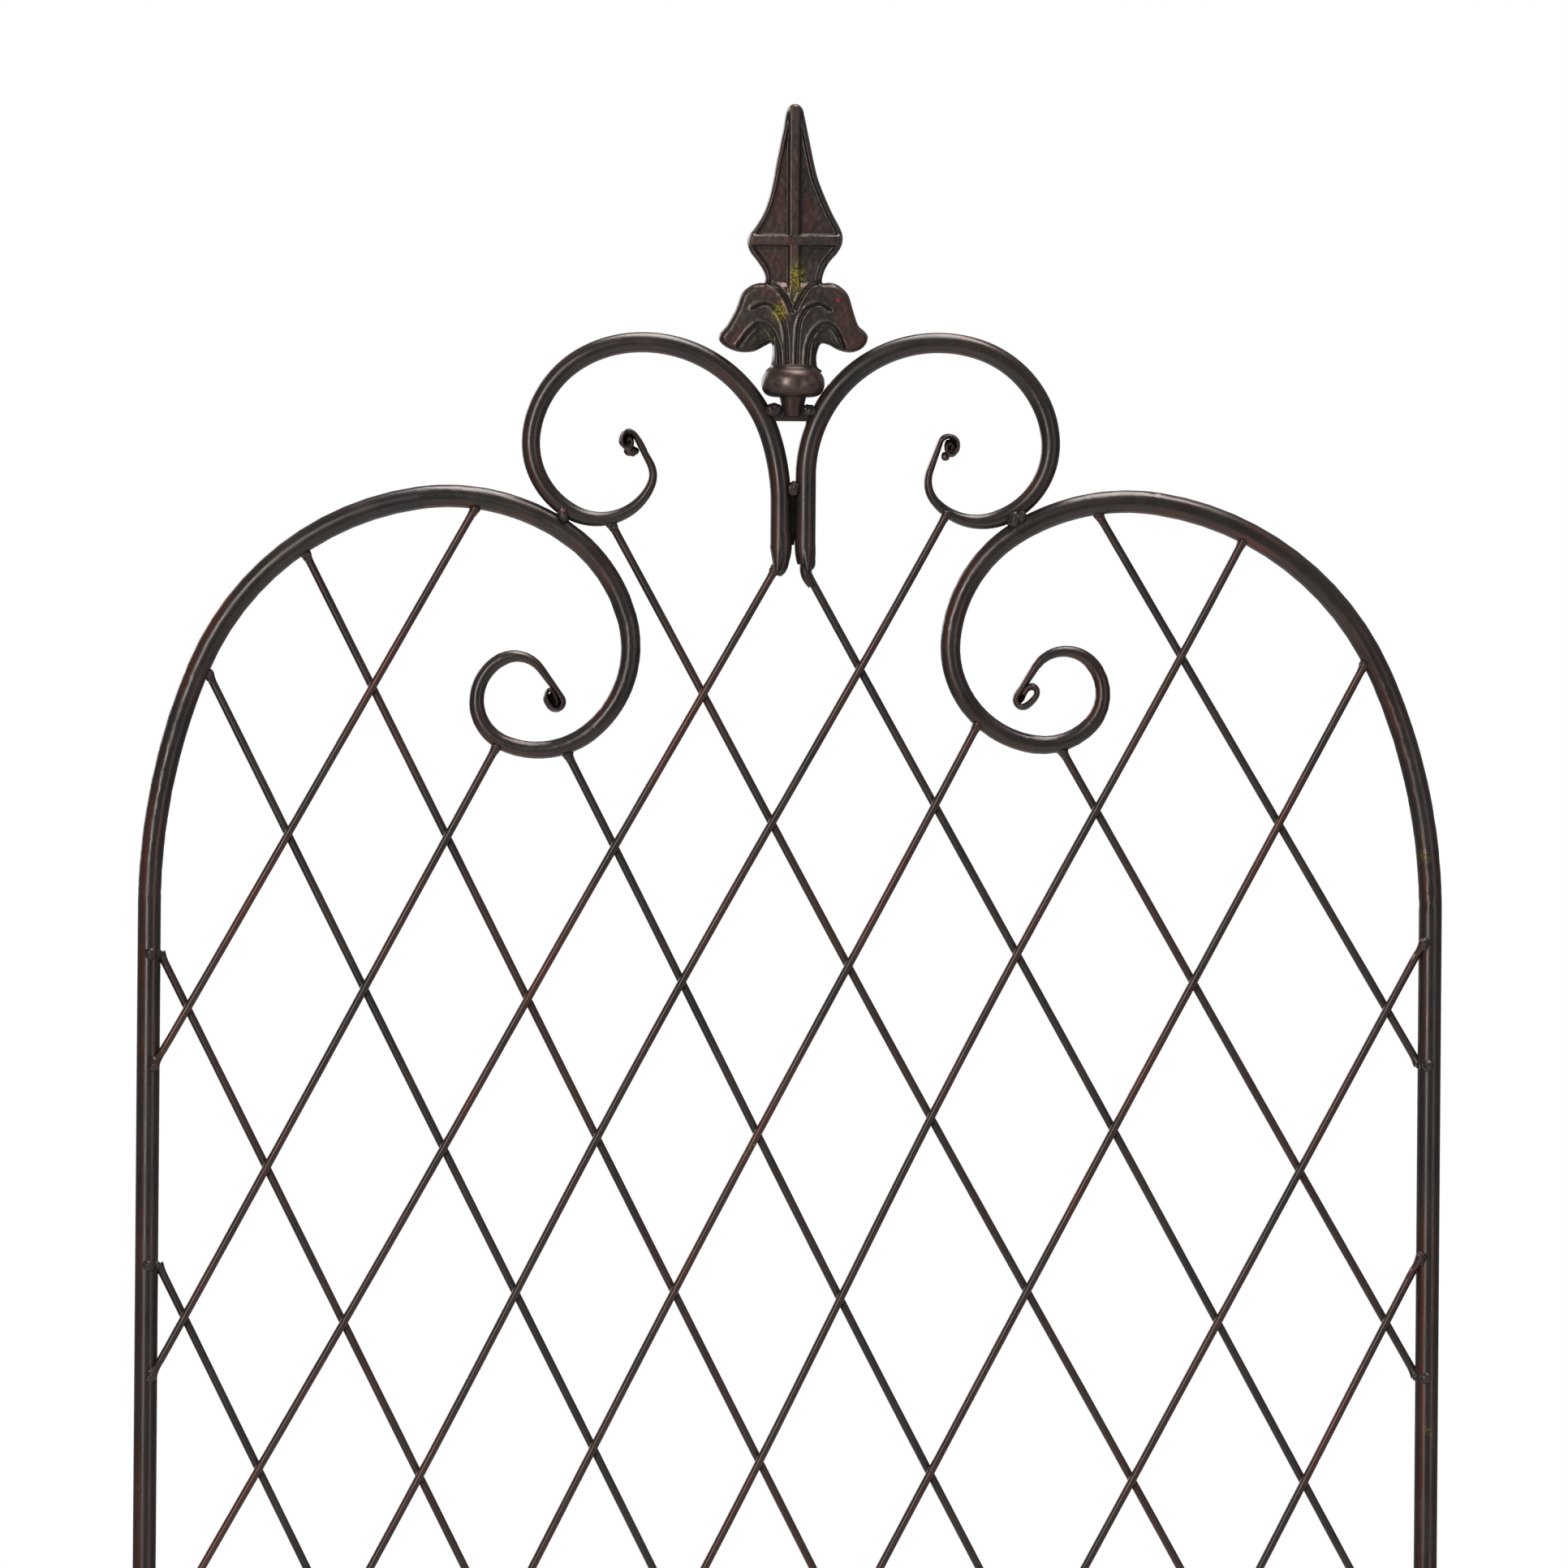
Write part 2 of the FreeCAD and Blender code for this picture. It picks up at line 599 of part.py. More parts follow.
def bottom_rail(post_outlines):
    """Round rail between the posts with its weld beads, coped to both; returns it uncoped."""
    post_x = (size("overall_width") - size("tube_diameter")) / 2
    rail = add("Part::Cylinder", "rail_full", in_plane(-post_x, size("rail_height"), 0),
               Radius="sizes.rail_diameter / 2", Height="sizes.overall_width - sizes.tube_diameter")
    pieces = [rail]
    for side, hand in HANDS.items():
        x = -hand * (post_x - size("tube_diameter") / 2)
        pieces.append(bead("rail_bead_" + side, x, 0, size("rail_height"), (1, 0),
                           "sizes.rod_diameter / 2 + sizes.bead_swell",
                           "sizes.rail_diameter / 2 + sizes.bead_swell",
                           "sizes.rail_diameter / 2 + sizes.bead_swell"))
    whole = fused("rail_with_beads", pieces)
    node(cut("bottom_rail", whole, post_outlines), "bottom_rail")
    return whole


def ground_spike(side):
    """Pointed spike whose plug fills the lower end of a post."""
    name = "ground_spike_" + side
    x = -HANDS[side] * (size("overall_width") - size("tube_diameter")) / 2
    prong_z = -size("spike_prong_length")
    point_z = prong_z - size("spike_point_length")
    plug = add("Part::Cylinder", name + "_plug", Placement(Vector(x, 0, 0), Rotation()),
               Radius="sizes.tube_diameter / 2 - sizes.tube_wall - sizes.spike_fit",
               Height="sizes.spike_plug_length")
    prong = add("Part::Cylinder", name + "_prong", Placement(Vector(x, 0, prong_z), Rotation()),
                Radius="sizes.spike_prong_diameter / 2", Height="sizes.spike_prong_length")
    point = add("Part::Cone", name + "_point", Placement(Vector(x, 0, point_z), Rotation()),
                Radius1="sizes.spike_point_diameter / 2", Radius2="sizes.spike_prong_diameter / 2",
                Height="sizes.spike_point_length")
    node(fused(name + "_solid", [plug, prong, point]), name)


def post_run(side_runs, hand):
    """A post's axis, from the soil line to its springing."""
    first = side_runs[0]
    half = size("tube_diameter") / 2
    return Run(first.x, 0, 90.0, 0, first.z, hand, half, half)


def rail_run():
    """The bottom rail's axis."""
    post_x = (size("overall_width") - size("tube_diameter")) / 2
    half = size("rail_diameter") / 2
    return Run(-post_x, size("rail_height"), 0.0, 0, 2 * post_x, 1, half, half)


def build():
    """Set the panel out from the springing, then build every piece at its height."""
    flat = {side: side_axis(side, 0.0) for side in HANDS}
    stem = {side: seated_upper_axis(side, flat[side])[0].z for side in HANDS}
    bar_rise = sum(stem.values()) / 2 + size("bar_height")
    spring_z = size("overall_height") - size("finial_rise") - bar_rise
    bar_z = spring_z + bar_rise
    side_runs = {side: side_axis(side, spring_z) for side in HANDS}
    upper_runs = {side: upper_axis(side, spring_z + stem[side]) for side in HANDS}
    frame_runs = [rail_run()] + [post_run(side_runs[side], hand) for side, hand in HANDS.items()]
    for side in HANDS:
        frame_runs += side_runs[side] + upper_runs[side]

    side_outlines = [side_frame(side, side_runs[side]) for side in HANDS]
    upper_outlines = [upper_scroll(side, upper_runs[side]) for side in HANDS]
    posts = grouped("post_outlines", side_outlines)
    rail = bottom_rail(posts)
    tubes = grouped("tube_outlines", side_outlines + upper_outlines + [rail])
    bar = finial_bar(bar_z, upper_runs, grouped("upper_outlines", upper_outlines))
    casting = finial(size("overall_height"), bar_z, bar)
    finial_bar_welds(bar_z, upper_runs, tubes, bar, casting)
    scroll_welds(upper_runs, side_runs, tubes)
    stem_weld(spring_z + sum(stem.values()) / 2, tubes)
    for side in HANDS:
        ground_spike(side)

    lattice("rising", RISING_RODS, 1, FRONT, "front_rod_gap", frame_runs, tubes, spring_z)
    lattice("falling", FALLING_RODS, -1, BACK, "back_rod_gap", frame_runs, tubes, spring_z)


def check_and_write():
    """Stop if any object failed, then write one file for each sub-part."""
    DOC.recompute()
    for thing in DOC.Objects:
        if {"Invalid", "Error"} & set(thing.State):
            raise RuntimeError("%s failed: %s" % (thing.Name, thing.State))
    for piece in NODES:
        if piece.Shape.isNull() or not piece.Shape.isValid():
            raise RuntimeError("%s has no valid shape" % piece.Label)
    os.makedirs("parts", exist_ok=True)
    for piece in NODES:
        piece.Shape.exportStep("parts/%s.step" % piece.Label)
        print("%-22s %2d solids %12.1f mm3" % (piece.Label, len(piece.Shape.Solids),
                                               piece.Shape.Volume))


DOC = FreeCAD.newDocument("garden_trellis")
SHEET = make_sheet(DOC)
NODES = []
build()
check_and_write()
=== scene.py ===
"""Metal trellis arch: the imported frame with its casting, rods, weld beads, paint and light."""

import math

import bmesh
import bpy
import numpy as np
from mathutils import Matrix, Vector, noise
from mathutils.geometry import delaunay_2d_cdt


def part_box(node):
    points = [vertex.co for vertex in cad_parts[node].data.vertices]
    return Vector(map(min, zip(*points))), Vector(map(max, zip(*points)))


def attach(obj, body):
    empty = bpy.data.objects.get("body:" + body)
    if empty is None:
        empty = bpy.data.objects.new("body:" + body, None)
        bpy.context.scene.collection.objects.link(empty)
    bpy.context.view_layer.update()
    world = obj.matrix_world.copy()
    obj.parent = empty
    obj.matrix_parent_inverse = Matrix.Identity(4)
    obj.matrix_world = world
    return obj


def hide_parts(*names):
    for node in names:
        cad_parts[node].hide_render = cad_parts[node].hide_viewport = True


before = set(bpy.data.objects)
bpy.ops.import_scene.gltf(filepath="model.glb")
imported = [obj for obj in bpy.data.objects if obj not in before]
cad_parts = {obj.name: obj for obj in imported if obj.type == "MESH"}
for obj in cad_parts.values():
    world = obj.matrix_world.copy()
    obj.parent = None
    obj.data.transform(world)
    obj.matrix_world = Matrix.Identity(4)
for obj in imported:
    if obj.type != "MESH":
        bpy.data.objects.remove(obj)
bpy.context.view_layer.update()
MM = 0.001
BODY = "root"

# ---------------------------------------------------------------- shader helpers


class Paint:
    """A node material under construction; every method returns a socket."""

    def __init__(self, name):
        self.material = bpy.data.materials.new(name)
        self.material.use_nodes = True
        self.tree = self.material.node_tree
        self.shader = self.tree.nodes["Principled BSDF"]
        self.coords = self.tree.nodes.new("ShaderNodeTexCoord")

    def new(self, kind, **values):
        made = self.tree.nodes.new(kind)
        for key, value in values.items():
            setattr(made, key, value)
        return made

    def feed(self, socket, value):
        if isinstance(value, bpy.types.NodeSocket):
            self.tree.links.new(value, socket)
        else:
            socket.default_value = value

    def math(self, operation, a, b=0.0):
        made = self.new("ShaderNodeMath", operation=operation)
        self.feed(made.inputs[0], a)
        self.feed(made.inputs[1], b)
        return made.outputs[0]

    def band(self, value, low, high, start=0.0, end=1.0):
        """Smooth rise from start to end as value goes from low to high."""
        made = self.new("ShaderNodeMapRange", interpolation_type="SMOOTHSTEP")
        for socket, item in zip(made.inputs, (value, low, high, start, end)):
            self.feed(socket, item)
        return made.outputs[0]

    def stretched(self, vector, scale):
        made = self.new("ShaderNodeMapping")
        self.feed(made.inputs["Vector"], vector)
        made.inputs["Scale"].default_value = scale
        return made.outputs[0]

    def noise(self, vector, scale, detail=3.0, roughness=0.55):
        made = self.new("ShaderNodeTexNoise")
        self.feed(made.inputs["Vector"], vector)
        made.inputs["Scale"].default_value = scale
        made.inputs["Detail"].default_value = detail
        made.inputs["Roughness"].default_value = roughness
        return made.outputs["Fac"]

    def mix(self, share, a, b):
        made = self.new("ShaderNodeMix", data_type="RGBA")
        self.feed(made.inputs[0], share)
        self.feed(made.inputs[6], a)
        self.feed(made.inputs[7], b)
        return made.outputs[2]

    def facing(self, direction):
        """How far the surface faces along a fixed direction, -1 to 1."""
        made = self.new("ShaderNodeVectorMath", operation="DOT_PRODUCT")
        self.feed(made.inputs[0], self.coords.outputs["Normal"])
        made.inputs[1].default_value = direction
        return made.outputs["Value"]

    def attribute(self, name):
        return self.new("ShaderNodeAttribute", attribute_name=name).outputs["Fac"]

    def bump(self, height, distance, strength, under=None):
        made = self.new("ShaderNodeBump")
        self.feed(made.inputs["Height"], height)
        made.inputs["Distance"].default_value = distance
        made.inputs["Strength"].default_value = strength
        if under is not None:
            self.feed(made.inputs["Normal"], under)
        return made.outputs["Normal"]


DARK = (0.020, 0.0175, 0.0165, 1.0)
BROWN = (0.038, 0.028, 0.024, 1.0)
RED = (0.088, 0.027, 0.019, 1.0)
# wear on the casting's ridges; also the painted highlight along the cross ridge's top edge
WORN_AND_HIGHLIGHT = (0.100, 0.080, 0.070, 1.0)
MOSS = (0.330, 0.300, 0.015, 1.0)
FLECK = (0.300, 0.012, 0.040, 1.0)
# painted shade in the casting's hollows and creases
HOLLOW_SHADE = (0.009, 0.006, 0.005, 1.0)
# near-black painted shade for the gap between the stems and inside the rolls
SHADE_BLACK = (0.0015, 0.0012, 0.0012, 1.0)


def painted(name, red, metallic, rough, streaks, grain=0.18):
    """Dark bronze paint: mottled, with rubbed red streaks and a fine orange-peel."""
    paint = Paint(name)
    where = paint.coords.outputs["Object"]
    blotch = paint.noise(where, 22.0, 5.0, 0.6)
    fine = paint.noise(where, 150.0, 3.0, 0.6)
    colour = paint.mix(paint.band(blotch, 0.30, 0.70), DARK, BROWN)
    colour = paint.mix(paint.math("MULTIPLY", paint.band(fine, 0.45, 0.75), grain), colour, BROWN)
    mask = paint.math("MULTIPLY", streaks(paint, where), red)
    colour = paint.mix(mask, colour, RED)
    speck = paint.noise(where, 1500.0, 2.0, 0.5)
    patch = paint.noise(where, 31.0, 2.0, 0.5)
    moss = paint.math("MULTIPLY", paint.band(speck, 0.60, 0.66), paint.band(patch, 0.70, 0.76))
    colour = paint.mix(moss, colour, MOSS)
    paint.feed(paint.shader.inputs["Base Color"], colour)
    scuffs = paint.noise(where, 60.0, 3.0, 0.6)
    paint.feed(paint.shader.inputs["Roughness"],
               paint.band(scuffs, 0.25, 0.75, rough - 0.06, rough + 0.08))
    paint.shader.inputs["Metallic"].default_value = metallic
    peel = paint.bump(paint.noise(where, 500.0, 2.0, 0.5), 0.00005, 0.06)
    dents = paint.bump(paint.noise(where, 45.0, 2.0, 0.5), 0.0006, 0.10, peel)
    paint.feed(paint.shader.inputs["Normal"], dents)
    return paint


def tube_streaks(paint, where):
    """Rubbed lines that follow the tube, beside its highlight."""
    side = paint.facing((0.93, 0.0, 0.37))
    beside = paint.math("MULTIPLY", paint.band(side, -0.85, -0.45), paint.band(side, -0.12, -0.42))
    far = paint.math("MULTIPLY", paint.band(side, 0.20, 0.45), paint.band(side, 0.75, 0.50))
    lines = paint.math("ADD", beside, paint.math("MULTIPLY", far, 0.45))
    wear_and_highlight = paint.band(paint.noise(where, 13.0, 4.0, 0.65), 0.40, 0.62)
    return paint.math("MULTIPLY", lines, wear_and_highlight)


def rod_streaks(paint, where):
    """Long brush marks along a rod, stronger on the rods with a redder tone."""
    along = paint.stretched(paint.coords.outputs["UV"], (14.0, 5.0, 1.0))
    marks = paint.band(paint.noise(along, 1.0, 4.0, 0.6), 0.38, 0.62)
    return paint.math("MULTIPLY", marks, paint.attribute("tone"))


def cast_streaks(paint, where):
    """Rubbed red on the casting, and nothing in its hollows."""
    rubbed = paint.band(paint.noise(where, 38.0, 4.0, 0.6), 0.40, 0.62)
    return paint.math("MULTIPLY", rubbed, paint.math("SUBTRACT", 1.0, paint.attribute("hollow_shade")))


def bead_streaks(paint, where):
    """Patchy red on the weld beads."""
    return paint.band(paint.noise(where, 120.0, 3.0, 0.6), 0.52, 0.66)


def casting_paint():
    """The casting's paint: ridges with wear and a painted highlight, painted shade in the hollows,
    a little moss and one red fleck.
    """
    paint = painted("casting_paint", 0.42, 0.45, 0.33, cast_streaks, 0.08)
    colour = paint.shader.inputs["Base Color"].links[0].from_socket
    where = paint.coords.outputs["Object"]
    # Wear on the ridges, with the painted highlight along the cross ridge's top edge.
    rub_and_highlight = paint.math("MULTIPLY", paint.attribute("ridge"),
                     paint.band(paint.noise(where, 300.0, 4.0, 0.6), 0.35, 0.60))
    colour = paint.mix(paint.math("MULTIPLY", rub_and_highlight, 0.85), colour, WORN_AND_HIGHLIGHT)
    # Painted shade, darker in the hollows and creases.
    colour = paint.mix(paint.math("MULTIPLY", paint.attribute("hollow_shade"), 0.70), colour, HOLLOW_SHADE)
    grains = paint.band(paint.noise(where, 800.0, 3.0, 0.6), 0.47, 0.54)
    colour = paint.mix(paint.math("MULTIPLY", grains, paint.attribute("moss")), colour, MOSS)
    colour = paint.mix(paint.attribute("fleck"), colour, FLECK)
    paint.feed(paint.shader.inputs["Base Color"], colour)
    return paint.material


def shade_paint():
    """Near-black painted shade deep in the crevices: between the stems and inside the rolls."""
    paint = Paint("shade_paint")
    shade_mottle = paint.noise(paint.coords.outputs["Object"], 140.0, 4.0, 0.6)
    paint.feed(paint.shader.inputs["Base Color"],
               paint.mix(paint.band(shade_mottle, 0.35, 0.65), SHADE_BLACK, HOLLOW_SHADE))
    paint.shader.inputs["Roughness"].default_value = 0.9
    paint.shader.inputs["Specular IOR Level"].default_value = 0.15
    return paint.material


TUBE_PAINT = painted("tube_paint", 0.85, 0.45, 0.30, tube_streaks).material
ROD_PAINT = painted("rod_paint", 0.80, 0.45, 0.34, rod_streaks).material
BEAD_PAINT = painted("bead_paint", 0.45, 0.40, 0.33, bead_streaks).material
SHADE_PAINT = shade_paint()
CASTING_PAINT = casting_paint()

# ---------------------------------------------------------------- mesh helpers

RIPPLE = 0.03  # depth of a bead's ripples, as a share of its radius


def piece(name, bm, material, slot, *replaced):
    """A finished piece of the object from a bmesh, riding on the frame."""
    mesh = bpy.data.meshes.new(name)
    bmesh.ops.recalc_face_normals(bm, faces=bm.faces)
    bm.to_mesh(mesh)
    bm.free()
    for face in mesh.polygons:
        face.use_smooth = True
    made = bpy.data.objects.new(name, mesh)
    bpy.context.scene.collection.objects.link(made)
    mesh.materials.append(material)
    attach(made, BODY)
    if replaced:
        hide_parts(*replaced)
    return made


def sweep(bm, path, halves, sides):
    """A closed tube along a path in a plane of constant y; halves are (in plane, in depth)."""
    uv = bm.loops.layers.uv.verify()
    rings, run, travelled = [], [], 0.0
    for k, point in enumerate(path):
        before, after = path[max(k - 1, 0)], path[min(k + 1, len(path) - 1)]
        ahead = (after - before).normalized()
        across = ahead.cross(Vector((0, 1, 0)))
        travelled += (point - before).length
        ring = []
        for j in range(sides):
            turn = 2 * math.pi * j / sides
            ring.append(bm.verts.new(point + across * halves[k][0] * math.cos(turn)
                                     + Vector((0, halves[k][1] * math.sin(turn), 0))))
        rings.append(ring)
        run.append(travelled)
    for k in range(len(rings) - 1):
        for j in range(sides):
            n = (j + 1) % sides
            face = bm.faces.new((rings[k][j], rings[k][n], rings[k + 1][n], rings[k + 1][j]))
            spots = ((k, j), (k, j + 1), (k + 1, j + 1), (k + 1, j))
            for loop, (row, column) in zip(face.loops, spots):
                loop[uv].uv = (run[row], column / sides)
    bm.faces.new(rings[0])
    bm.faces.new(rings[-1])


def blob(bm, centre, radii, turn=0.0, seed=0.0, rough=0.16):
    """A lumpy weld bead with faint ripples along its length; turn is about the y axis."""
    rotation = Matrix.Rotation(turn, 3, "Y")
    shift = Vector((seed, 2.3 * seed, -1.7 * seed))
    for vert in bmesh.ops.create_icosphere(bm, subdivisions=4, radius=1.0)["verts"]:
        p = vert.co.copy()
        swell = 1 + rough * noise.noise(p * 1.5 + shift)
        swell += 0.5 * rough * noise.noise(p * 3.7 + shift)
        swell += RIPPLE * math.sin(9.0 * p.x + seed)
        vert.co = centre + rotation @ Vector(a * b for a, b in zip(p, radii)) * swell


def lump(bm, centre, shift, radii, turn, seed, rough):
    """A bead beside a centre that is in metres; its shift and radii are in mm."""
    blob(bm, centre + Vector(shift) * MM, [r * MM for r in radii], turn, seed, rough)


# ---------------------------------------------------------------- finial

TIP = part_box("finial")[1].z / MM
FINIAL_X = -0.6  # the casting stands a little left of the panel's middle, in mm


def below_tip(x, drop):
    """A finial point in mm, x from the panel's middle and drop below the tip."""
    return (x, TIP - drop)


OUTLINE = [below_tip(*p) for p in (
    (-0.9, 0.0), (1.8, 0.7), (3.8, 3.2), (4.6, 6.5), (6.2, 14.0), (8.2, 23.5), (10.2, 33.0),
    (12.3, 41.0), (15.5, 49.3), (20.3, 60.0), (24.6, 68.0), (26.1, 72.6), (25.6, 77.4),
    (22.9, 82.2), (18.9, 86.8), (16.0, 92.4), (15.1, 98.0), (19.0, 98.0), (23.9, 99.4),
    (29.3, 104.5), (32.1, 113.0), (34.9, 121.0), (38.3, 124.4), (40.3, 127.3), (39.4, 131.4),
    (36.0, 134.8), (30.6, 136.3), (24.6, 135.2), (18.9, 132.3), (14.9, 131.6), (13.1, 134.6),
    (12.2, 139.0), (12.6, 144.0), (13.6, 147.5), (-14.0, 147.5), (-13.0, 144.0), (-12.2, 139.0),
    (-12.0, 134.6), (-12.8, 131.6), (-16.4, 133.2), (-22.6, 136.2), (-30.6, 136.4), (-37.2, 134.0),
    (-41.0, 130.6), (-41.2, 127.0), (-36.9, 121.4), (-32.2, 112.4), (-29.3, 104.5), (-24.2, 100.0),
    (-19.4, 98.4), (-16.6, 98.0), (-17.0, 92.6), (-20.4, 87.0), (-24.4, 81.8), (-26.2, 77.0),
    (-25.6, 73.0), (-21.6, 67.2), (-17.8, 60.6), (-14.6, 51.8), (-12.6, 43.0), (-10.6, 31.6),
    (-8.8, 22.4), (-6.9, 12.6), (-5.9, 6.4), (-4.8, 3.0), (-3.0, 0.8))]

CREASES = {  # (depth, half width) and the line, in mm
    "leaf_top_left": (1.3, 0.9, ((-17.0, 97.4), (-11.0, 100.2), (-5.6, 105.6), (-1.6, 114.0))),
    "leaf_top_right": (1.3, 0.9, ((15.6, 97.4), (9.0, 99.6), (4.0, 105.4), (0.4, 113.0))),
    "arch_left": (1.2, 0.75, ((-22.8, 112.6), (-17.6, 110.2), (-12.9, 111.2), (-8.4, 115.6),
                             (-5.4, 122.0), (-4.2, 132.0), (-3.8, 147.0))),
    "arch_right": (1.2, 0.75, ((19.6, 113.2), (13.9, 110.2), (8.2, 111.7), (4.2, 116.7),
                              (2.5, 122.0), (1.6, 132.0), (1.4, 147.0))),
    "lobe_left": (1.6, 0.85, ((-31.0, 134.0), (-25.0, 125.7), (-19.5, 121.2), (-14.6, 122.6),
                             (-11.0, 127.6), (-8.6, 135.4), (-8.0, 147.0))),
    "lobe_right": (1.6, 0.85, ((27.4, 134.0), (23.9, 125.7), (19.4, 121.2), (14.9, 121.6),
                              (10.3, 126.6), (7.6, 134.4), (6.8, 147.0))),
}
# Per point: wear with painted highlight, painted shade, moss and the red fleck.
SHARES = ("ridge", "hollow_shade", "moss", "fleck")
RIDGE_HALF = 3.1             # half width of the upright ridge, in mm
CROSS_RIDGE = (71.9, 78.3)   # upper and lower side of the cross ridge, below the tip
WAIST = 98.0                 # where the blade ends and the leaves begin, below the tip
BLADE_HALF = 4.4             # half thickness of the blade
LEAF_EXTRA = 1.3             # how much the leaves add to it
PANEL_SINK = 1.3             # how far the blade's flat panels lie below its rim
RIDGE_RISE = 6.3             # half thickness over the ridges
LOBE_SINK = 1.9              # how far the small lobes lie behind the leaves
CAST_GRAIN = 0.12            # unevenness of the cast skin
GRID = 0.62                  # spacing of the relief's points
GRID_ROW = 0.866             # height of a row of them, as a share of the spacing
RIM_CLEAR = 0.35             # how far they keep from the outline
ON_RIM = 1e-4                # a point nearer than this lies on the outline
MOSS_PATCHES = (((1.2, 95.5), (3.2, 7.5)), ((-8.2, 114.5), (3.0, 4.0)))
FLECK_PATCH = ((23.6, 107.8), (1.1, 1.3))


def smooth(value, low, high):
    """Smoothstep of an array."""
    t = np.clip((value - low) / (high - low), 0.0, 1.0)
    return t * t * (3 - 2 * t)


def between(value, start, full, fade, end):
    """1 from full to fade, and down smoothly to 0 at start and at end."""
    return smooth(value, start, full) * (1 - smooth(value, fade, end))


def curved(points, steps, closed=False):
    """Points on a Catmull-Rom curve through the given ones."""
    points = np.array(points, float)
    count = len(points)
    made = []
    for k in range(count if closed else count - 1):
        if closed:
            a, b, c, d = (points[(k + j) % count] for j in (-1, 0, 1, 2))
        else:
            a, b, c, d = (points[min(max(k + j, 0), count - 1)] for j in (-1, 0, 1, 2))
        for t in np.linspace(0, 1, steps, endpoint=False):
            made.append(0.5 * (2 * b + (c - a) * t + (2 * a - 5 * b + 4 * c - d) * t ** 2
                               + (3 * b - a - 3 * c + d) * t ** 3))
    if not closed:
        made.append(points[-1])
    return np.array(made)


def distance_to(line, points, closed=False):
    """Distance from each point to a polyline."""
    ends = np.roll(line, -1, 0) if closed else line[1:]
    starts = line if closed else line[:-1]
    best = np.full(len(points), 1e9)
    for a, b in zip(starts, ends):
        along = b - a
        t = np.clip((points - a) @ along / max(along @ along, 1e-12), 0, 1)
        best = np.minimum(best, np.linalg.norm(points - a - t[:, None] * along, axis=1))
    return best


def finial_relief(points, rim):
    """Half thickness of the casting in mm, its share of wear with painted highlight, and its share
    of painted shade.
    """
    x, drop = points[:, 0], TIP - points[:, 1]
    leaf = smooth(drop, WAIST - 1.0, WAIST + 4.0)
    width = 2.0 + 1.6 * leaf
    crown = np.sqrt(1 - (1 - np.clip(rim / width, 0, 1)) ** 2)
    height = (BLADE_HALF + LEAF_EXTRA * leaf) * crown
    panel = smooth(rim, 2.3, 3.5) * (1 - leaf)
    height -= PANEL_SINK * panel
    aside = np.abs(x - FINIAL_X * (1 - 0.5 * smooth(drop, 40, 100)))
    upright = (1 - smooth(aside, RIDGE_HALF - 0.9, RIDGE_HALF + 0.5))
    upright *= 1 - smooth(drop, WAIST + 6, WAIST + 16)
    upper, lower = CROSS_RIDGE
    half = (lower - upper) / 2
    cross = 1 - smooth(np.abs(drop - (upper + lower) / 2), half - 0.9, half + 0.4)
    cross *= smooth(rim, 0.6, 2.0)
    ridge = np.maximum(upright, cross)
    height += ridge * (RIDGE_RISE * crown - height)
    # Painted shade: darker at the upright ridge's foot, under the cross ridge and along the sunk
    # panels' edges.
    foot = between(aside, RIDGE_HALF - 0.4, RIDGE_HALF + 0.5, RIDGE_HALF + 1.1, RIDGE_HALF + 2.4)
    hollow_shade = foot * (1 - leaf) * (1 - cross)
    under = between(drop, lower, lower + 0.7, lower + 1.0, lower + 2.4)
    hollow_shade = np.maximum(hollow_shade, under * panel * (1 - upright))
    edge = between(rim, 1.7, 2.5, 2.7, 3.9) * (1 - leaf)
    hollow_shade = np.maximum(hollow_shade, 0.7 * edge * (1 - ridge))
    lifted = np.zeros(len(points))
    for depth, half_width, line in CREASES.values():
        line = curved([below_tip(*p) for p in line], 8)
        away = distance_to(line, points)
        groove = np.exp(-(away / half_width) ** 2)
        height -= depth * groove * crown
        # painted shade along the crease
        hollow_shade = np.maximum(hollow_shade, groove)
        lip = np.exp(-((away - 2.0 * half_width) / (0.8 * half_width)) ** 2)
        height += 0.35 * lip * crown * leaf
        lifted = np.maximum(lifted, lip * leaf)
    lobes = rear_lobes(points)
    height -= LOBE_SINK * lobes * crown
    # painted shade on the lobes behind the leaves
    hollow_shade = np.maximum(hollow_shade, 0.55 * lobes)
    grain = np.array([noise.noise(Vector((p[0] * 0.35, p[1] * 0.35, 3.0))) for p in points])
    height += CAST_GRAIN * grain * crown
    # Painted highlight along the cross ridge's top edge, joined with wear on the ridges and crease
    # lips, and lighter along the outline.
    painted_brow_highlight = np.exp(-((drop - upper - 0.9) / 0.8) ** 2) * smooth(rim, 0.6, 2.0) * (1 - leaf)
    wear_and_highlight = np.maximum(0.22 * ridge * (1 - smooth(drop, 100, 112)), lifted * 0.75) * (1 - hollow_shade)
    wear_and_highlight = np.maximum(wear_and_highlight, painted_brow_highlight * (1 - 0.6 * upright))
    wear_and_highlight = np.maximum(wear_and_highlight, (1 - smooth(rim, 0.7, 1.5)) * 0.4)
    return np.maximum(height, 0.0), wear_and_highlight, hollow_shade


def patch(points, middle, spread):
    """A soft round patch; its middle is x and the drop below the tip, in mm."""
    across = (points[:, 0] - middle[0]) / spread[0]
    down = (TIP - points[:, 1] - middle[1]) / spread[1]
    return np.exp(-across ** 2 - down ** 2)


def rear_lobes(points):
    """Share of each point in the small lobes behind the leaves' lower edge."""
    inside = np.zeros(len(points))
    for name in ("lobe_left", "lobe_right"):
        line = curved([below_tip(*p) for p in CREASES[name][2][:5]], 8)
        order = np.argsort(line[:, 0])
        limit = np.interp(points[:, 0], line[order, 0], line[order, 1])
        low, high = line[:, 0].min(), line[:, 0].max()
        within = (points[:, 0] > low) & (points[:, 0] < high)
        inside = np.maximum(inside, within * smooth(limit - points[:, 1], 0.4, 1.6))
    return inside


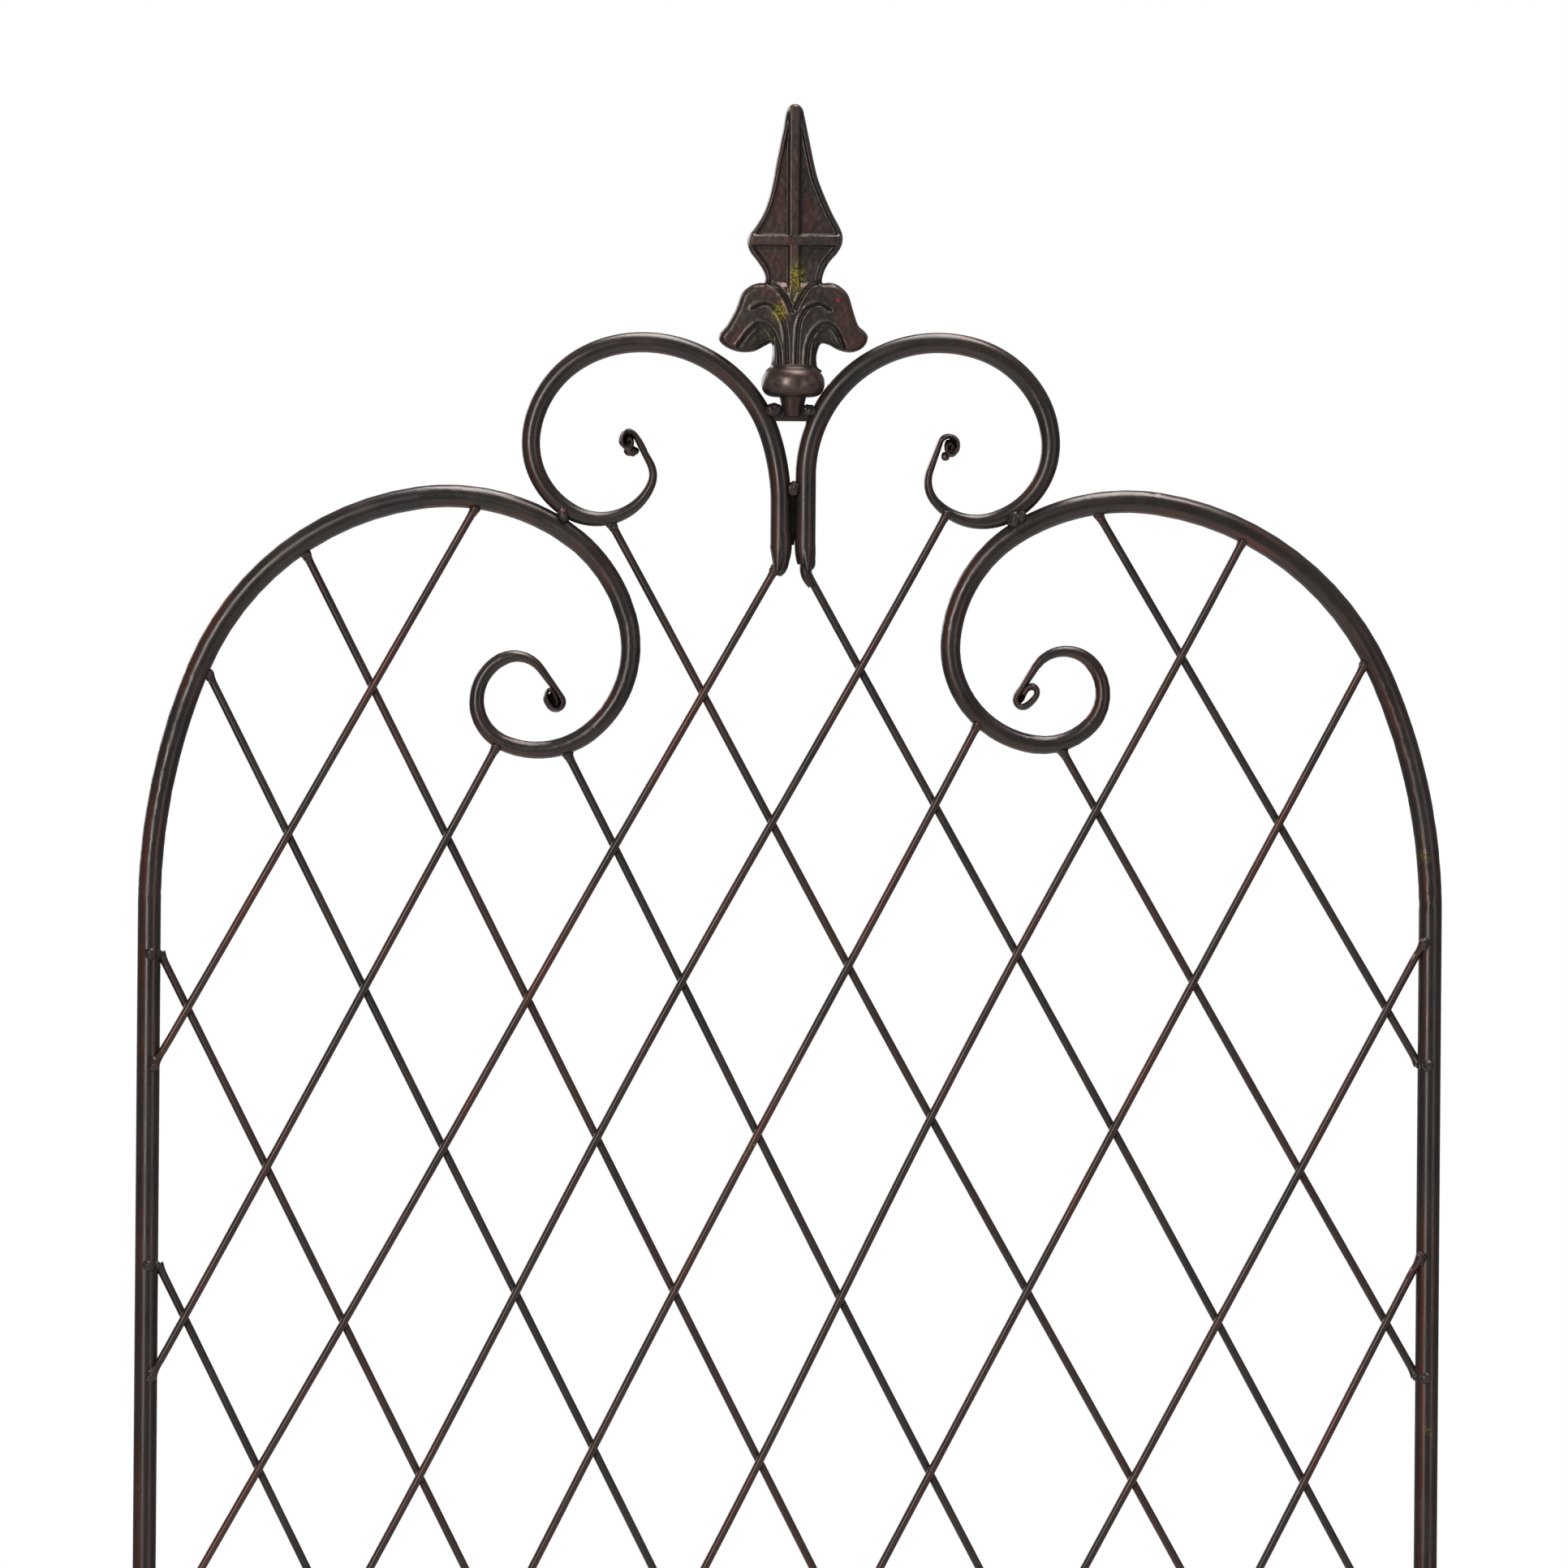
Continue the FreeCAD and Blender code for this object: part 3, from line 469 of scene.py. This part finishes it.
def finial_casting():
    """Spear, leaves and stem as one relief, the same front and back."""
    rim_line = curved(OUTLINE, 6, closed=True)
    (x0, z0), (x1, z1) = rim_line.min(0), rim_line.max(0)
    grid = np.array([(x, z) for row, z in enumerate(np.arange(z0, z1, GRID * GRID_ROW))
                     for x in np.arange(x0 + (row % 2) * GRID / 2, x1, GRID)])
    grid = grid[inside_of(rim_line, grid)]
    grid = grid[distance_to(rim_line, grid, closed=True) > RIM_CLEAR]
    flat = [Vector(p) for p in np.vstack((rim_line, grid))]
    points, _, faces, _, _, _ = delaunay_2d_cdt(flat, [], [list(range(len(rim_line)))], 1, 1e-5)
    points = np.array([tuple(p) for p in points])
    rim = distance_to(rim_line, points, closed=True)
    on_rim = rim < ON_RIM
    height, wear_and_highlight, hollow_shade = finial_relief(points, rim)
    bm = bmesh.new()
    layers = {key: bm.verts.layers.float.new(key) for key in SHARES}
    moss = np.maximum(*(patch(points, *where) for where in MOSS_PATCHES))
    fleck = patch(points, *FLECK_PATCH) > 0.45
    sheets = []
    for way in (-1, 1):
        sheet = []
        for k, (x, z) in enumerate(points):
            if way == 1 and on_rim[k]:
                sheet.append(sheets[0][k])
                continue
            vert = bm.verts.new(Vector((x, way * height[k] * (not on_rim[k]), z)) * MM)
            vert[layers["ridge"]] = wear_and_highlight[k]
            vert[layers["hollow_shade"]] = hollow_shade[k]
            vert[layers["moss"]] = moss[k]
            vert[layers["fleck"]] = float(fleck[k])
            sheet.append(vert)
        sheets.append(sheet)
        for face in faces:
            bm.faces.new([sheet[k] for k in (face if way == -1 else reversed(face))])
    return piece("finial_casting", bm, CASTING_PAINT, "casting", "finial")


def inside_of(line, points):
    """Which points lie inside a closed line."""
    inside = np.zeros(len(points), bool)
    for (ax, az), (bx, bz) in zip(line, np.roll(line, -1, 0)):
        crosses = (az > points[:, 1]) != (bz > points[:, 1])
        with np.errstate(divide="ignore", invalid="ignore"):
            at = (bx - ax) * (points[:, 1] - az) / (bz - az) + ax
        inside ^= crosses & (points[:, 0] < at)
    return inside


COLLAR_SIDES = 72
COLLAR_CREASE = 145.2  # the crease above the collar, darkened with painted shade, below the tip
COLLAR = (  # radius and drop below the tip, in mm
    (0.01, 143.0), (10.8, 143.4), (12.2, 144.8), (13.2, 145.8), (15.2, 147.4), (16.9, 150.2),
    (17.4, 153.6), (16.9, 156.8), (15.2, 159.3), (12.4, 160.7), (9.2, 161.0), (7.4, 161.3),
    (6.9, 163.0), (6.3, 166.4), (5.4, 170.0), (4.6, 171.6), (0.01, 171.8))


def finial_collar():
    """Turned collar and tapered neck below the stem."""
    bm = bmesh.new()
    layers = {key: bm.verts.layers.float.new(key) for key in SHARES}
    rings = []
    for radius, drop in curved(COLLAR, 5):
        # lighter round the collar's widest edge
        wear_and_highlight = float(smooth(np.array(radius), 16.4, 17.3))
        # painted shade in the crease above the collar
        crease = float(1 - smooth(np.array(abs(drop - COLLAR_CREASE)), 0.2, 1.4)) * 0.8
        ring = []
        for j in range(COLLAR_SIDES):
            turn = 2 * math.pi * j / COLLAR_SIDES
            out = Vector((math.cos(turn), math.sin(turn), 0))
            uneven = 1 + 0.018 * noise.noise(out * 1.6 + Vector((0, 0, drop * 0.12)))
            spot = Vector((FINIAL_X, 0, TIP - drop)) + out * radius * uneven
            vert = bm.verts.new(spot * MM)
            vert[layers["ridge"]] = wear_and_highlight
            vert[layers["hollow_shade"]] = crease
            ring.append(vert)
        rings.append(ring)
    for low, high in zip(rings, rings[1:]):
        for j in range(COLLAR_SIDES):
            n = (j + 1) % COLLAR_SIDES
            bm.faces.new((low[j], low[n], high[n], high[j]))
    bm.faces.new(rings[0])
    bm.faces.new(rings[-1])
    return piece("finial_collar", bm, CASTING_PAINT, "casting", "finial")


# ---------------------------------------------------------------- lattice rods

POST_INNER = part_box("bottom_rail")[1].x
POST_REACH = 30 * MM     # a rod's end this near a post's inner side lies on the post
SPRING_Z = 1.307         # where the posts turn into the arches
RODS = 14                # in each layer
ROD_RADIUS = 2.15 * MM
ROD_SIDES = 18
RING_SPAN = 3.5 * MM     # reach of the mesh ring that gives a bar's line
STEP = 9 * MM            # spacing of a rod's rings, with closer ones near its ends
END_WAYS = (0, 0.0012, 0.0025, 0.004, 0.006, 0.009)
SET_BACK = 0.8           # how far in mm a rod's end stops short of the CAD's, off the posts
FRONT_LAP = 5.2          # how far it runs past on a post, in front and behind
REAR_LAP = 1.2
LAP_RUN = 14             # length in mm over which a front rod's end comes forward
LAP_RISE = 4.0 * MM      # and how far it comes
WELD_SWELL = 0.42        # share by which a rod swells at its weld, and its reach in mm
WELD_REACH = 3.2
REDNESS = {"rising": 0.75, "falling": 0.25}
SWAYS = {  # sideways sway in mm and its wave length, measured from the rod's upper end
    "rising_rod_03": (0.5, 420), "rising_rod_04": (2.5, 660), "rising_rod_05": (1.35, 640),
    "rising_rod_06": (2.8, 635), "rising_rod_07": (0.5, 700), "falling_rod_03": (-0.75, 720),
    "falling_rod_04": (1.2, 660), "falling_rod_05": (1.35, 690), "falling_rod_06": (0.4, 800),
}


def rod_ends(name):
    """A rod's upper and lower end, on the line of its bar."""
    spots = np.array([v.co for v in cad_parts[name].data.vertices])
    low, high = spots[spots[:, 2].argmin()], spots[spots[:, 2].argmax()]
    for _ in range(3):
        ahead = np.array((high[0] - low[0], 0, high[2] - low[2]))
        ahead /= np.linalg.norm(ahead)
        across = np.array((ahead[2], 0, -ahead[0]))
        along = spots @ ahead
        middle = (along.min() + along.max()) / 2
        found = []
        for half in (along < middle, along > middle):
            away = np.abs(along - middle)
            ring = half & (away < away[half].min() + RING_SPAN)
            side = spots[ring] @ across
            reach = along[half][np.abs(along[half] - middle).argmax()]
            found.append(ahead * reach + across * (side.min() + side.max()) / 2)
        low, high = found
    y = math.copysign(ROD_RADIUS, spots[:, 1].mean())
    return Vector((high[0], y, high[2])), Vector((low[0], y, low[2]))


def on_post(spot):
    """Whether a spot lies beside one of the upright posts."""
    return spot.z < SPRING_Z and abs(spot.x) > POST_INNER - POST_REACH


def end_shift(end, laps):
    """How far in mm a rod's end is drawn out past the CAD's: a front rod laps onto its post."""
    if not on_post(end):
        return -SET_BACK
    return FRONT_LAP if laps else REAR_LAP


def rod(name, tone):
    """One slightly bent rod, swelling where the weld has wetted its ends."""
    top, bottom = rod_ends(name)
    ahead = (bottom - top).normalized()
    laps = name.startswith("rising")
    top -= ahead * (end_shift(top, laps) * MM)
    bottom += ahead * (end_shift(bottom, laps) * MM)
    length = (bottom - top).length
    sway, wave = SWAYS.get(name, (0.25 * math.sin(hash_of(name)), 520))
    count = max(int(length / STEP), 8)
    ways = sorted({k * length / count for k in range(count)}.union(
        END_WAYS, (length - way for way in END_WAYS)))
    path, halves = [], []
    for way in ways:
        bent = sway * MM * math.cos(2 * math.pi * way / (wave * MM))
        spot = top.lerp(bottom, way / length) + Vector((bent, 0, 0))
        end = min(way, length - way) / MM
        if laps and on_post(spot):
            spot.y -= LAP_RISE * float(smooth(np.array(LAP_RUN - end), 0.0, LAP_RUN))
        path.append(spot)
        radius = ROD_RADIUS * (1 + WELD_SWELL * math.exp(-(end / WELD_REACH) ** 2)
                               + 0.035 * noise.noise(Vector((way * 60, hash_of(name), 0))))
        halves.append((radius, radius))
    bm = bmesh.new()
    layer = bm.verts.layers.float.new("tone")
    sweep(bm, path, halves, ROD_SIDES)
    for vert in bm.verts:
        vert[layer] = tone
    piece("bent_" + name, bm, ROD_PAINT, "lattice_rod", name)
    return path[0], path[-1]


def hash_of(name):
    """A small fixed number for a rod's name."""
    return sum((k + 1) * ord(c) for k, c in enumerate(name)) % 97 / 9.7


def end_bead(bm, end, ahead, seed, way):
    """The lumps that join a rod's end to its tube.

    ahead points out along the rod, and way is -1 for the front layer and 1 for the rear one.
    """
    turn = math.atan2(ahead.x, ahead.z)
    out = math.copysign(1, end.x)
    sunk = -1.2 * way
    if on_post(end) and way > 0:
        lumps = (
            ((out * 2.4, -3.0, -0.6), (4.4, 3.2, 2.8), 0.10 * math.sin(seed), 0.0, 0.16),
            ((out * 4.6, -8.0, -0.6), (3.2, 2.4, 3.3), 0.0, 4.0, 0.16))
    elif on_post(end):
        lumps = (
            ((out * 0.6, 0.8, -0.4), (3.0, 2.6, 2.5), out * 0.7, 0.0, 0.16),
            ((-out * 0.2, 1.0, -ahead.z * 2.4), (2.4, 3.0, 3.4), 0.0, 4.0, 0.16))
    else:
        lumps = (
            ((-ahead.x * 0.8, sunk, -ahead.z * 0.8), (3.0, 3.2, 3.0), turn, 0.0, 0.2),
            ((-ahead.x * 2.8, sunk, -ahead.z * 2.8), (2.5, 2.6, 2.8), turn, 2.0, 0.2),
            ((1.1 * math.sin(seed) - ahead.x, sunk - 2.0, -ahead.z), (2.0, 1.9, 1.9),
             0.0, 7.0, 0.25))
    for shift, radii, lean, number, rough in lumps:
        lump(bm, end, shift, radii, lean, seed + number, rough)


def lattice():
    """Every rod, and the beads at their ends."""
    for layer, way in (("rising", -1), ("falling", 1)):
        bm = bmesh.new()
        for k in range(RODS):
            tone = REDNESS[layer] + 0.22 * math.sin(3.1 * k - way)
            top, bottom = rod("%s_rod_%02d" % (layer, k + 1), tone)
            ahead = (top - bottom).normalized()
            end_bead(bm, top, ahead, 1.7 * k - way, way)
            end_bead(bm, bottom, -ahead, 2.9 * k + way, way)
        piece(layer + "_beads", bm, BEAD_PAINT, "weld_bead")


# ---------------------------------------------------------------- frame welds

SCROLL_LUMPS = (  # out from the panel's middle, up and in depth from the weld's middle, and radii
    (-0.6, 0.2, -4.4, (2.8, 2.6, 3.6)), (0.0, 2.0, -4.0, (2.2, 2.4, 2.8)),
    (-0.6, 0.2, 0.0, (5.0, 4.6, 3.4)), (1.0, -0.6, 4.0, (3.6, 2.8, 3.2)))
SCROLL_SIDES = {-1: (1.0, 0.0), 1: (1.25, 3.2)}  # growth, and how far out the second lump goes
BAR_LUMPS = ((-0.6, 1.0, -4.4), (1.0, -0.2, -2.2), (0.2, 0.6, 3.0))
BAR_RADII = {-1: (5.0, 3.4, 3.6), 1: (4.3, 3.4, 3.3)}
STEM_LUMPS = (  # shift from the weld's middle, radii, turn and roughness
    ((0.3, -4.4, 0.8), (3.3, 3.0, 4.2), 0.2, 0.16), ((0.3, 4.2, 0.8), (3.3, 3.0, 4.2), 0.2, 0.16))
SEAM_LENGTH = 30 * MM
SEAM_STEPS = 20


def middle_of(node, side):
    """Middle of the part of a CAD node that lies left (-1) or right (1) of the panel's middle."""
    spots = [v.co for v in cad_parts[node].data.vertices if v.co.x * side > 0]
    low = Vector(min(s[k] for s in spots) for k in range(3))
    high = Vector(max(s[k] for s in spots) for k in range(3))
    return (low + high) / 2


def frame_beads():
    """Beads between scrolls and arches and at the finial's bar."""
    bm = bmesh.new()
    for side, (grown, slide) in SCROLL_SIDES.items():
        centre = middle_of("scroll_welds", side)
        for k, (along, up, depth, radii) in enumerate(SCROLL_LUMPS):
            shift = (side * (along + slide * (k == 1)), depth, up)
            lump(bm, centre, shift, [r * grown for r in radii], 0.3 * side, k + side * 3.0, 0.14)
    piece("scroll_beads", bm, BEAD_PAINT, "weld_bead", "scroll_welds")
    bm = bmesh.new()
    for side, radii in BAR_RADII.items():
        centre = middle_of("finial_bar_welds", side)
        for k, (along, up, depth) in enumerate(BAR_LUMPS):
            shrunk = [r * (1 - 0.08 * k) for r in radii]
            lump(bm, centre, (side * along, depth, up), shrunk, 0.3 * side, 5.0 + k + side, 0.12)
    piece("bar_beads", bm, BEAD_PAINT, "weld_bead", "finial_bar_welds")


def stem_beads():
    """The bead between the two stems, and below it a seam of near-black painted shade in the gap
    between them.
    """
    low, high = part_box("stem_weld")
    centre = (low + high) / 2
    bm = bmesh.new()
    for shift, radii, turn, rough in STEM_LUMPS:
        lump(bm, centre, shift, radii, turn, shift[1], rough)
    lump(bm, centre, (0, 0, 0), (2.6, 4.6, 3.6), 0.0, 9.0, 0.16)
    piece("stem_bead", bm, BEAD_PAINT, "weld_bead", "stem_weld")
    # The seam is painted shade: a near-black strip in the gap between the stems.
    bm = bmesh.new()
    top, bottom = centre + Vector((0, 0, -2.0 * MM)), centre - Vector((0, 0, SEAM_LENGTH))
    shares = [k / SEAM_STEPS for k in range(SEAM_STEPS + 1)]
    path = [top.lerp(bottom, share) for share in shares]
    halves = [((2.1 - 1.3 * share ** 3) * MM, 1.6 * MM) for share in shares]
    sweep(bm, path, halves, 16)
    piece("stem_seam", bm, SHADE_PAINT, "weld_bead")


# ---------------------------------------------------------------- rolled ends and toes

ROLLED_ENDS = {  # the line of each tube's rolled strip: x and z in mm from its box's upper corner
    "upper_scroll_left": (-1, (
        (70.9, -72.6), (69.0, -67.6), (66.7, -62.6), (64.2, -58.5), (61.7, -55.5), (58.6, -54.2),
        (56.2, -56.1), (55.2, -59.1), (56.1, -62.4), (58.3, -64.1), (60.3, -63.0), (60.7, -60.2),
        (59.2, -58.6), (58.5, -60.2))),
    "upper_scroll_right": (1, (
        (-69.5, -68.9), (-66.8, -62.8), (-64.6, -58.7), (-61.0, -56.7), (-57.7, -57.8),
        (-56.1, -60.5), (-56.5, -64.4), (-59.3, -67.2), (-61.5, -66.1), (-62.3, -63.4),
        (-60.4, -61.1), (-58.7, -62.8), (-59.8, -63.9))),
    "side_frame_left": (1, (
        (-49.8, -106.7), (-47.6, -110.7), (-44.7, -114.7), (-42.9, -117.9), (-42.7, -120.3),
        (-44.1, -122.4), (-46.3, -123.0), (-48.7, -121.4), (-50.9, -118.0), (-51.6, -115.2),
        (-51.0, -113.1), (-49.6, -112.1), (-48.2, -112.9), (-46.5, -115.9), (-45.5, -119.1),
        (-45.9, -120.6))),
    "side_frame_right": (-1, (
        (44.7, -108.0), (42.3, -112.4), (41.7, -115.6), (43.1, -118.4),
        (45.0, -119.4), (47.8, -118.4), (50.6, -116.0), (52.8, -113.1), (53.1, -110.3),
        (51.9, -108.5), (50.3, -107.9), (48.1, -109.1), (46.5, -111.2), (45.7, -112.8))),
}
ROLLED_LUMPS = {  # what shows under a roll, from the same corner: middle and radii in mm
    "upper_scroll_left": ((60.2, 2.0, -65.3), (4.1, 3.0, 2.9)),
    "upper_scroll_right": ((-62.9, 1.4, -67.8), (2.4, 2.8, 2.5)),
}
ROLLED_HEARTS = {  # what shows inside a roll: a near-black blob of painted shade
    "upper_scroll_left": ((58.6, 1.2, -59.5), (2.9, 1.6, 4.2)),
    "upper_scroll_right": ((-60.1, 1.2, -62.4), (3.6, 1.6, 4.2)),
    "side_frame_left": ((-46.8, 1.6, -117.7), (3.3, 1.6, 5.0)),
    "side_frame_right": ((44.5, 1.6, -114.4), (2.0, 1.6, 3.9)),
}
HEART_TURNS = {"side_frame_left": -0.45, "side_frame_right": 0.5}
ROLLED_THICK = {"side_frame_right": 1.8}  # half thickness of a rolled strip in mm, if not 1.25
TOES = {  # the stems' pinched lower ends: x, z and half width in mm from the box's lower corner
    "upper_scroll_left": (1, (
        (-5.2, 21.6, 5.4), (-5.1, 14.6, 5.8), (-4.8, 9.9, 5.2), (-4.9, 6.2, 4.4),
        (-5.5, 2.4, 4.0), (-5.9, -0.2, 3.0), (-6.7, -2.5, 1.4))),
    "upper_scroll_right": (-1, (
        (5.6, 21.3, 5.4), (5.7, 12.8, 5.8), (6.1, 6.7, 5.4), (6.7, 3.5, 4.7), (5.9, 1.1, 3.2),
        (6.5, -2.3, 3.0), (7.8, -5.3, 2.7), (9.7, -8.3, 2.2))),
}


def corner_of(node, side, top=True):
    """A corner of a CAD node's box, in mm: side is -1 or 1, and its y is the panel's middle."""
    low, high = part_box(node)
    return Vector(((high if side > 0 else low).x, 0, (high if top else low).z)) / MM


def rolled_ends():
    """The flattened ends of the scrolls, rolled up tight, with painted shade inside each roll."""
    for node, (side, line) in ROLLED_ENDS.items():
        corner = corner_of(node, side)
        thick = ROLLED_THICK.get(node, 1.25)
        spots = curved(line, 8)
        path, halves = [], []
        for k, (x, z) in enumerate(spots):
            share = k / (len(spots) - 1)
            path.append((corner + Vector((x, -0.8 * share, z))) * MM)
            grown = min(1.0, 0.55 + 4 * share)
            halves.append(((thick * grown - 0.15 * share) * MM,
                           (3.2 + 1.8 * math.sin(math.pi * share)) * grown * MM))
        bm = bmesh.new()
        sweep(bm, path, halves, 20)
        if node in ROLLED_LUMPS:
            middle, radii = ROLLED_LUMPS[node]
            lump(bm, (corner + Vector(middle)) * MM, (0, 0, 0), radii, 0.0, side, 0.12)
        piece("rolled_end_" + node, bm, TUBE_PAINT, "bent_tube")
        # Painted shade: a near-black blob inside the roll.
        bm = bmesh.new()
        middle, radii = ROLLED_HEARTS[node]
        turn = HEART_TURNS.get(node, 0.0)
        lump(bm, (corner + Vector(middle)) * MM, (0, 0, 0), radii, turn, side, 0.12)
        piece("rolled_heart_" + node, bm, SHADE_PAINT, "bent_tube")


def stem_toes():
    """The pinched ends of the two stems, each drawn down to the rod below it."""
    for node, (side, line) in TOES.items():
        corner = corner_of(node, side, top=False)
        bm = bmesh.new()
        spots = curved(line, 6)
        path = [(corner + Vector((x, 0, z))) * MM for x, z, _ in spots]
        halves = [(half * MM, min(5.75, 2.6 + 0.55 * half) * MM) for _, _, half in spots]
        sweep(bm, path, halves, 32)
        piece("stem_toe_" + node, bm, TUBE_PAINT, "bent_tube")


def dress_frame():
    """Paint for the carried-over tubes, bar and spikes."""
    for name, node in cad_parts.items():
        if node.hide_render:
            continue
        node.data.materials.clear()
        node.data.materials.append(TUBE_PAINT)


# ---------------------------------------------------------------- stage

FLOOR_RADIUS = 3.4
FLOOR_GAP = 0.0005   # the floor lies just below the spikes' points
SURROUND = 0.22      # light from the white surroundings, which the camera sees as plain white


def area_light(name, spot, target, size, power, colour):
    """A soft box that points at a target."""
    lamp = bpy.data.lights.new(name, "AREA")
    lamp.shape = "RECTANGLE"
    lamp.size, lamp.size_y = size
    lamp.energy = power
    lamp.color = colour
    made = bpy.data.objects.new(name, lamp)
    made.location = spot
    made.rotation_euler = (Vector(target) - Vector(spot)).to_track_quat("-Z", "Y").to_euler()
    bpy.context.scene.collection.objects.link(made)


def studio():
    """Pale floor under the spikes' points, white surroundings and soft light."""
    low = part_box("ground_spike_left")[0].z
    bm = bmesh.new()
    bmesh.ops.create_circle(bm, cap_ends=True, segments=128, radius=FLOOR_RADIUS)
    mesh = bpy.data.meshes.new("floor")
    bm.to_mesh(mesh)
    bm.free()
    floor = bpy.data.objects.new("floor", mesh)
    floor.location.z = low - FLOOR_GAP
    bpy.context.scene.collection.objects.link(floor)
    paint = Paint("floor_paint")
    grain = paint.noise(paint.coords.outputs["Object"], 3.0, 4.0)
    paint.feed(paint.shader.inputs["Base Color"],
               paint.mix(grain, (0.80, 0.80, 0.79, 1.0), (0.84, 0.84, 0.83, 1.0)))
    paint.shader.inputs["Roughness"].default_value = 0.9
    mesh.materials.append(paint.material)
    world = bpy.data.worlds.new("studio")
    world.use_nodes = True
    tree = world.node_tree
    seen = tree.nodes.new("ShaderNodeLightPath")
    back = tree.nodes["Background"]
    mixed = tree.nodes.new("ShaderNodeMix")
    mixed.inputs[2].default_value = SURROUND
    mixed.inputs[3].default_value = 1.0
    tree.links.new(seen.outputs["Is Camera Ray"], mixed.inputs[0])
    tree.links.new(mixed.outputs[0], back.inputs["Strength"])
    back.inputs["Color"].default_value = (1, 1, 1, 1)
    bpy.context.scene.world = world
    area_light("overhead", (0.2, 0.1, 4.4), (0, 0, 1.2), (2.4, 1.6), 170.0, (1.0, 0.985, 0.97))
    area_light("window", (-1.9, -4.2, 2.2), (0, 0, 1.3), (0.7, 2.6), 120.0, (1.0, 0.98, 0.95))
    area_light("fill", (3.2, -3.0, 1.4), (0, 0, 1.1), (1.2, 2.6), 22.0, (0.93, 0.96, 1.0))
    area_light("rear", (-2.4, 3.4, 2.4), (0, 0, 1.1), (2.0, 2.0), 45.0, (1.0, 1.0, 1.0))
    bpy.context.scene.view_settings.view_transform = "Standard"


def camera():
    """Square-on from the front with a long lens, level with the arches, tipped by a hair."""
    distance, width = 5.0, 0.8609  # of the camera, and across the view at the panel
    aside, height, tip = -0.00376, 1.37656, math.radians(0.45)
    data = bpy.data.cameras.new("camera")
    data.sensor_width = 36.0
    data.lens = data.sensor_width * distance / width
    data.clip_end = 100.0
    made = bpy.data.objects.new("camera", data)
    made.matrix_world = (Matrix.Translation((aside, -distance, height))
                         @ Matrix.Rotation(math.radians(90), 4, "X")
                         @ Matrix.Rotation(tip, 4, "Z"))
    bpy.context.scene.collection.objects.link(made)
    bpy.context.scene.camera = made


finial_casting()
finial_collar()
lattice()
frame_beads()
stem_beads()
rolled_ends()
stem_toes()
dress_frame()
studio()
camera()
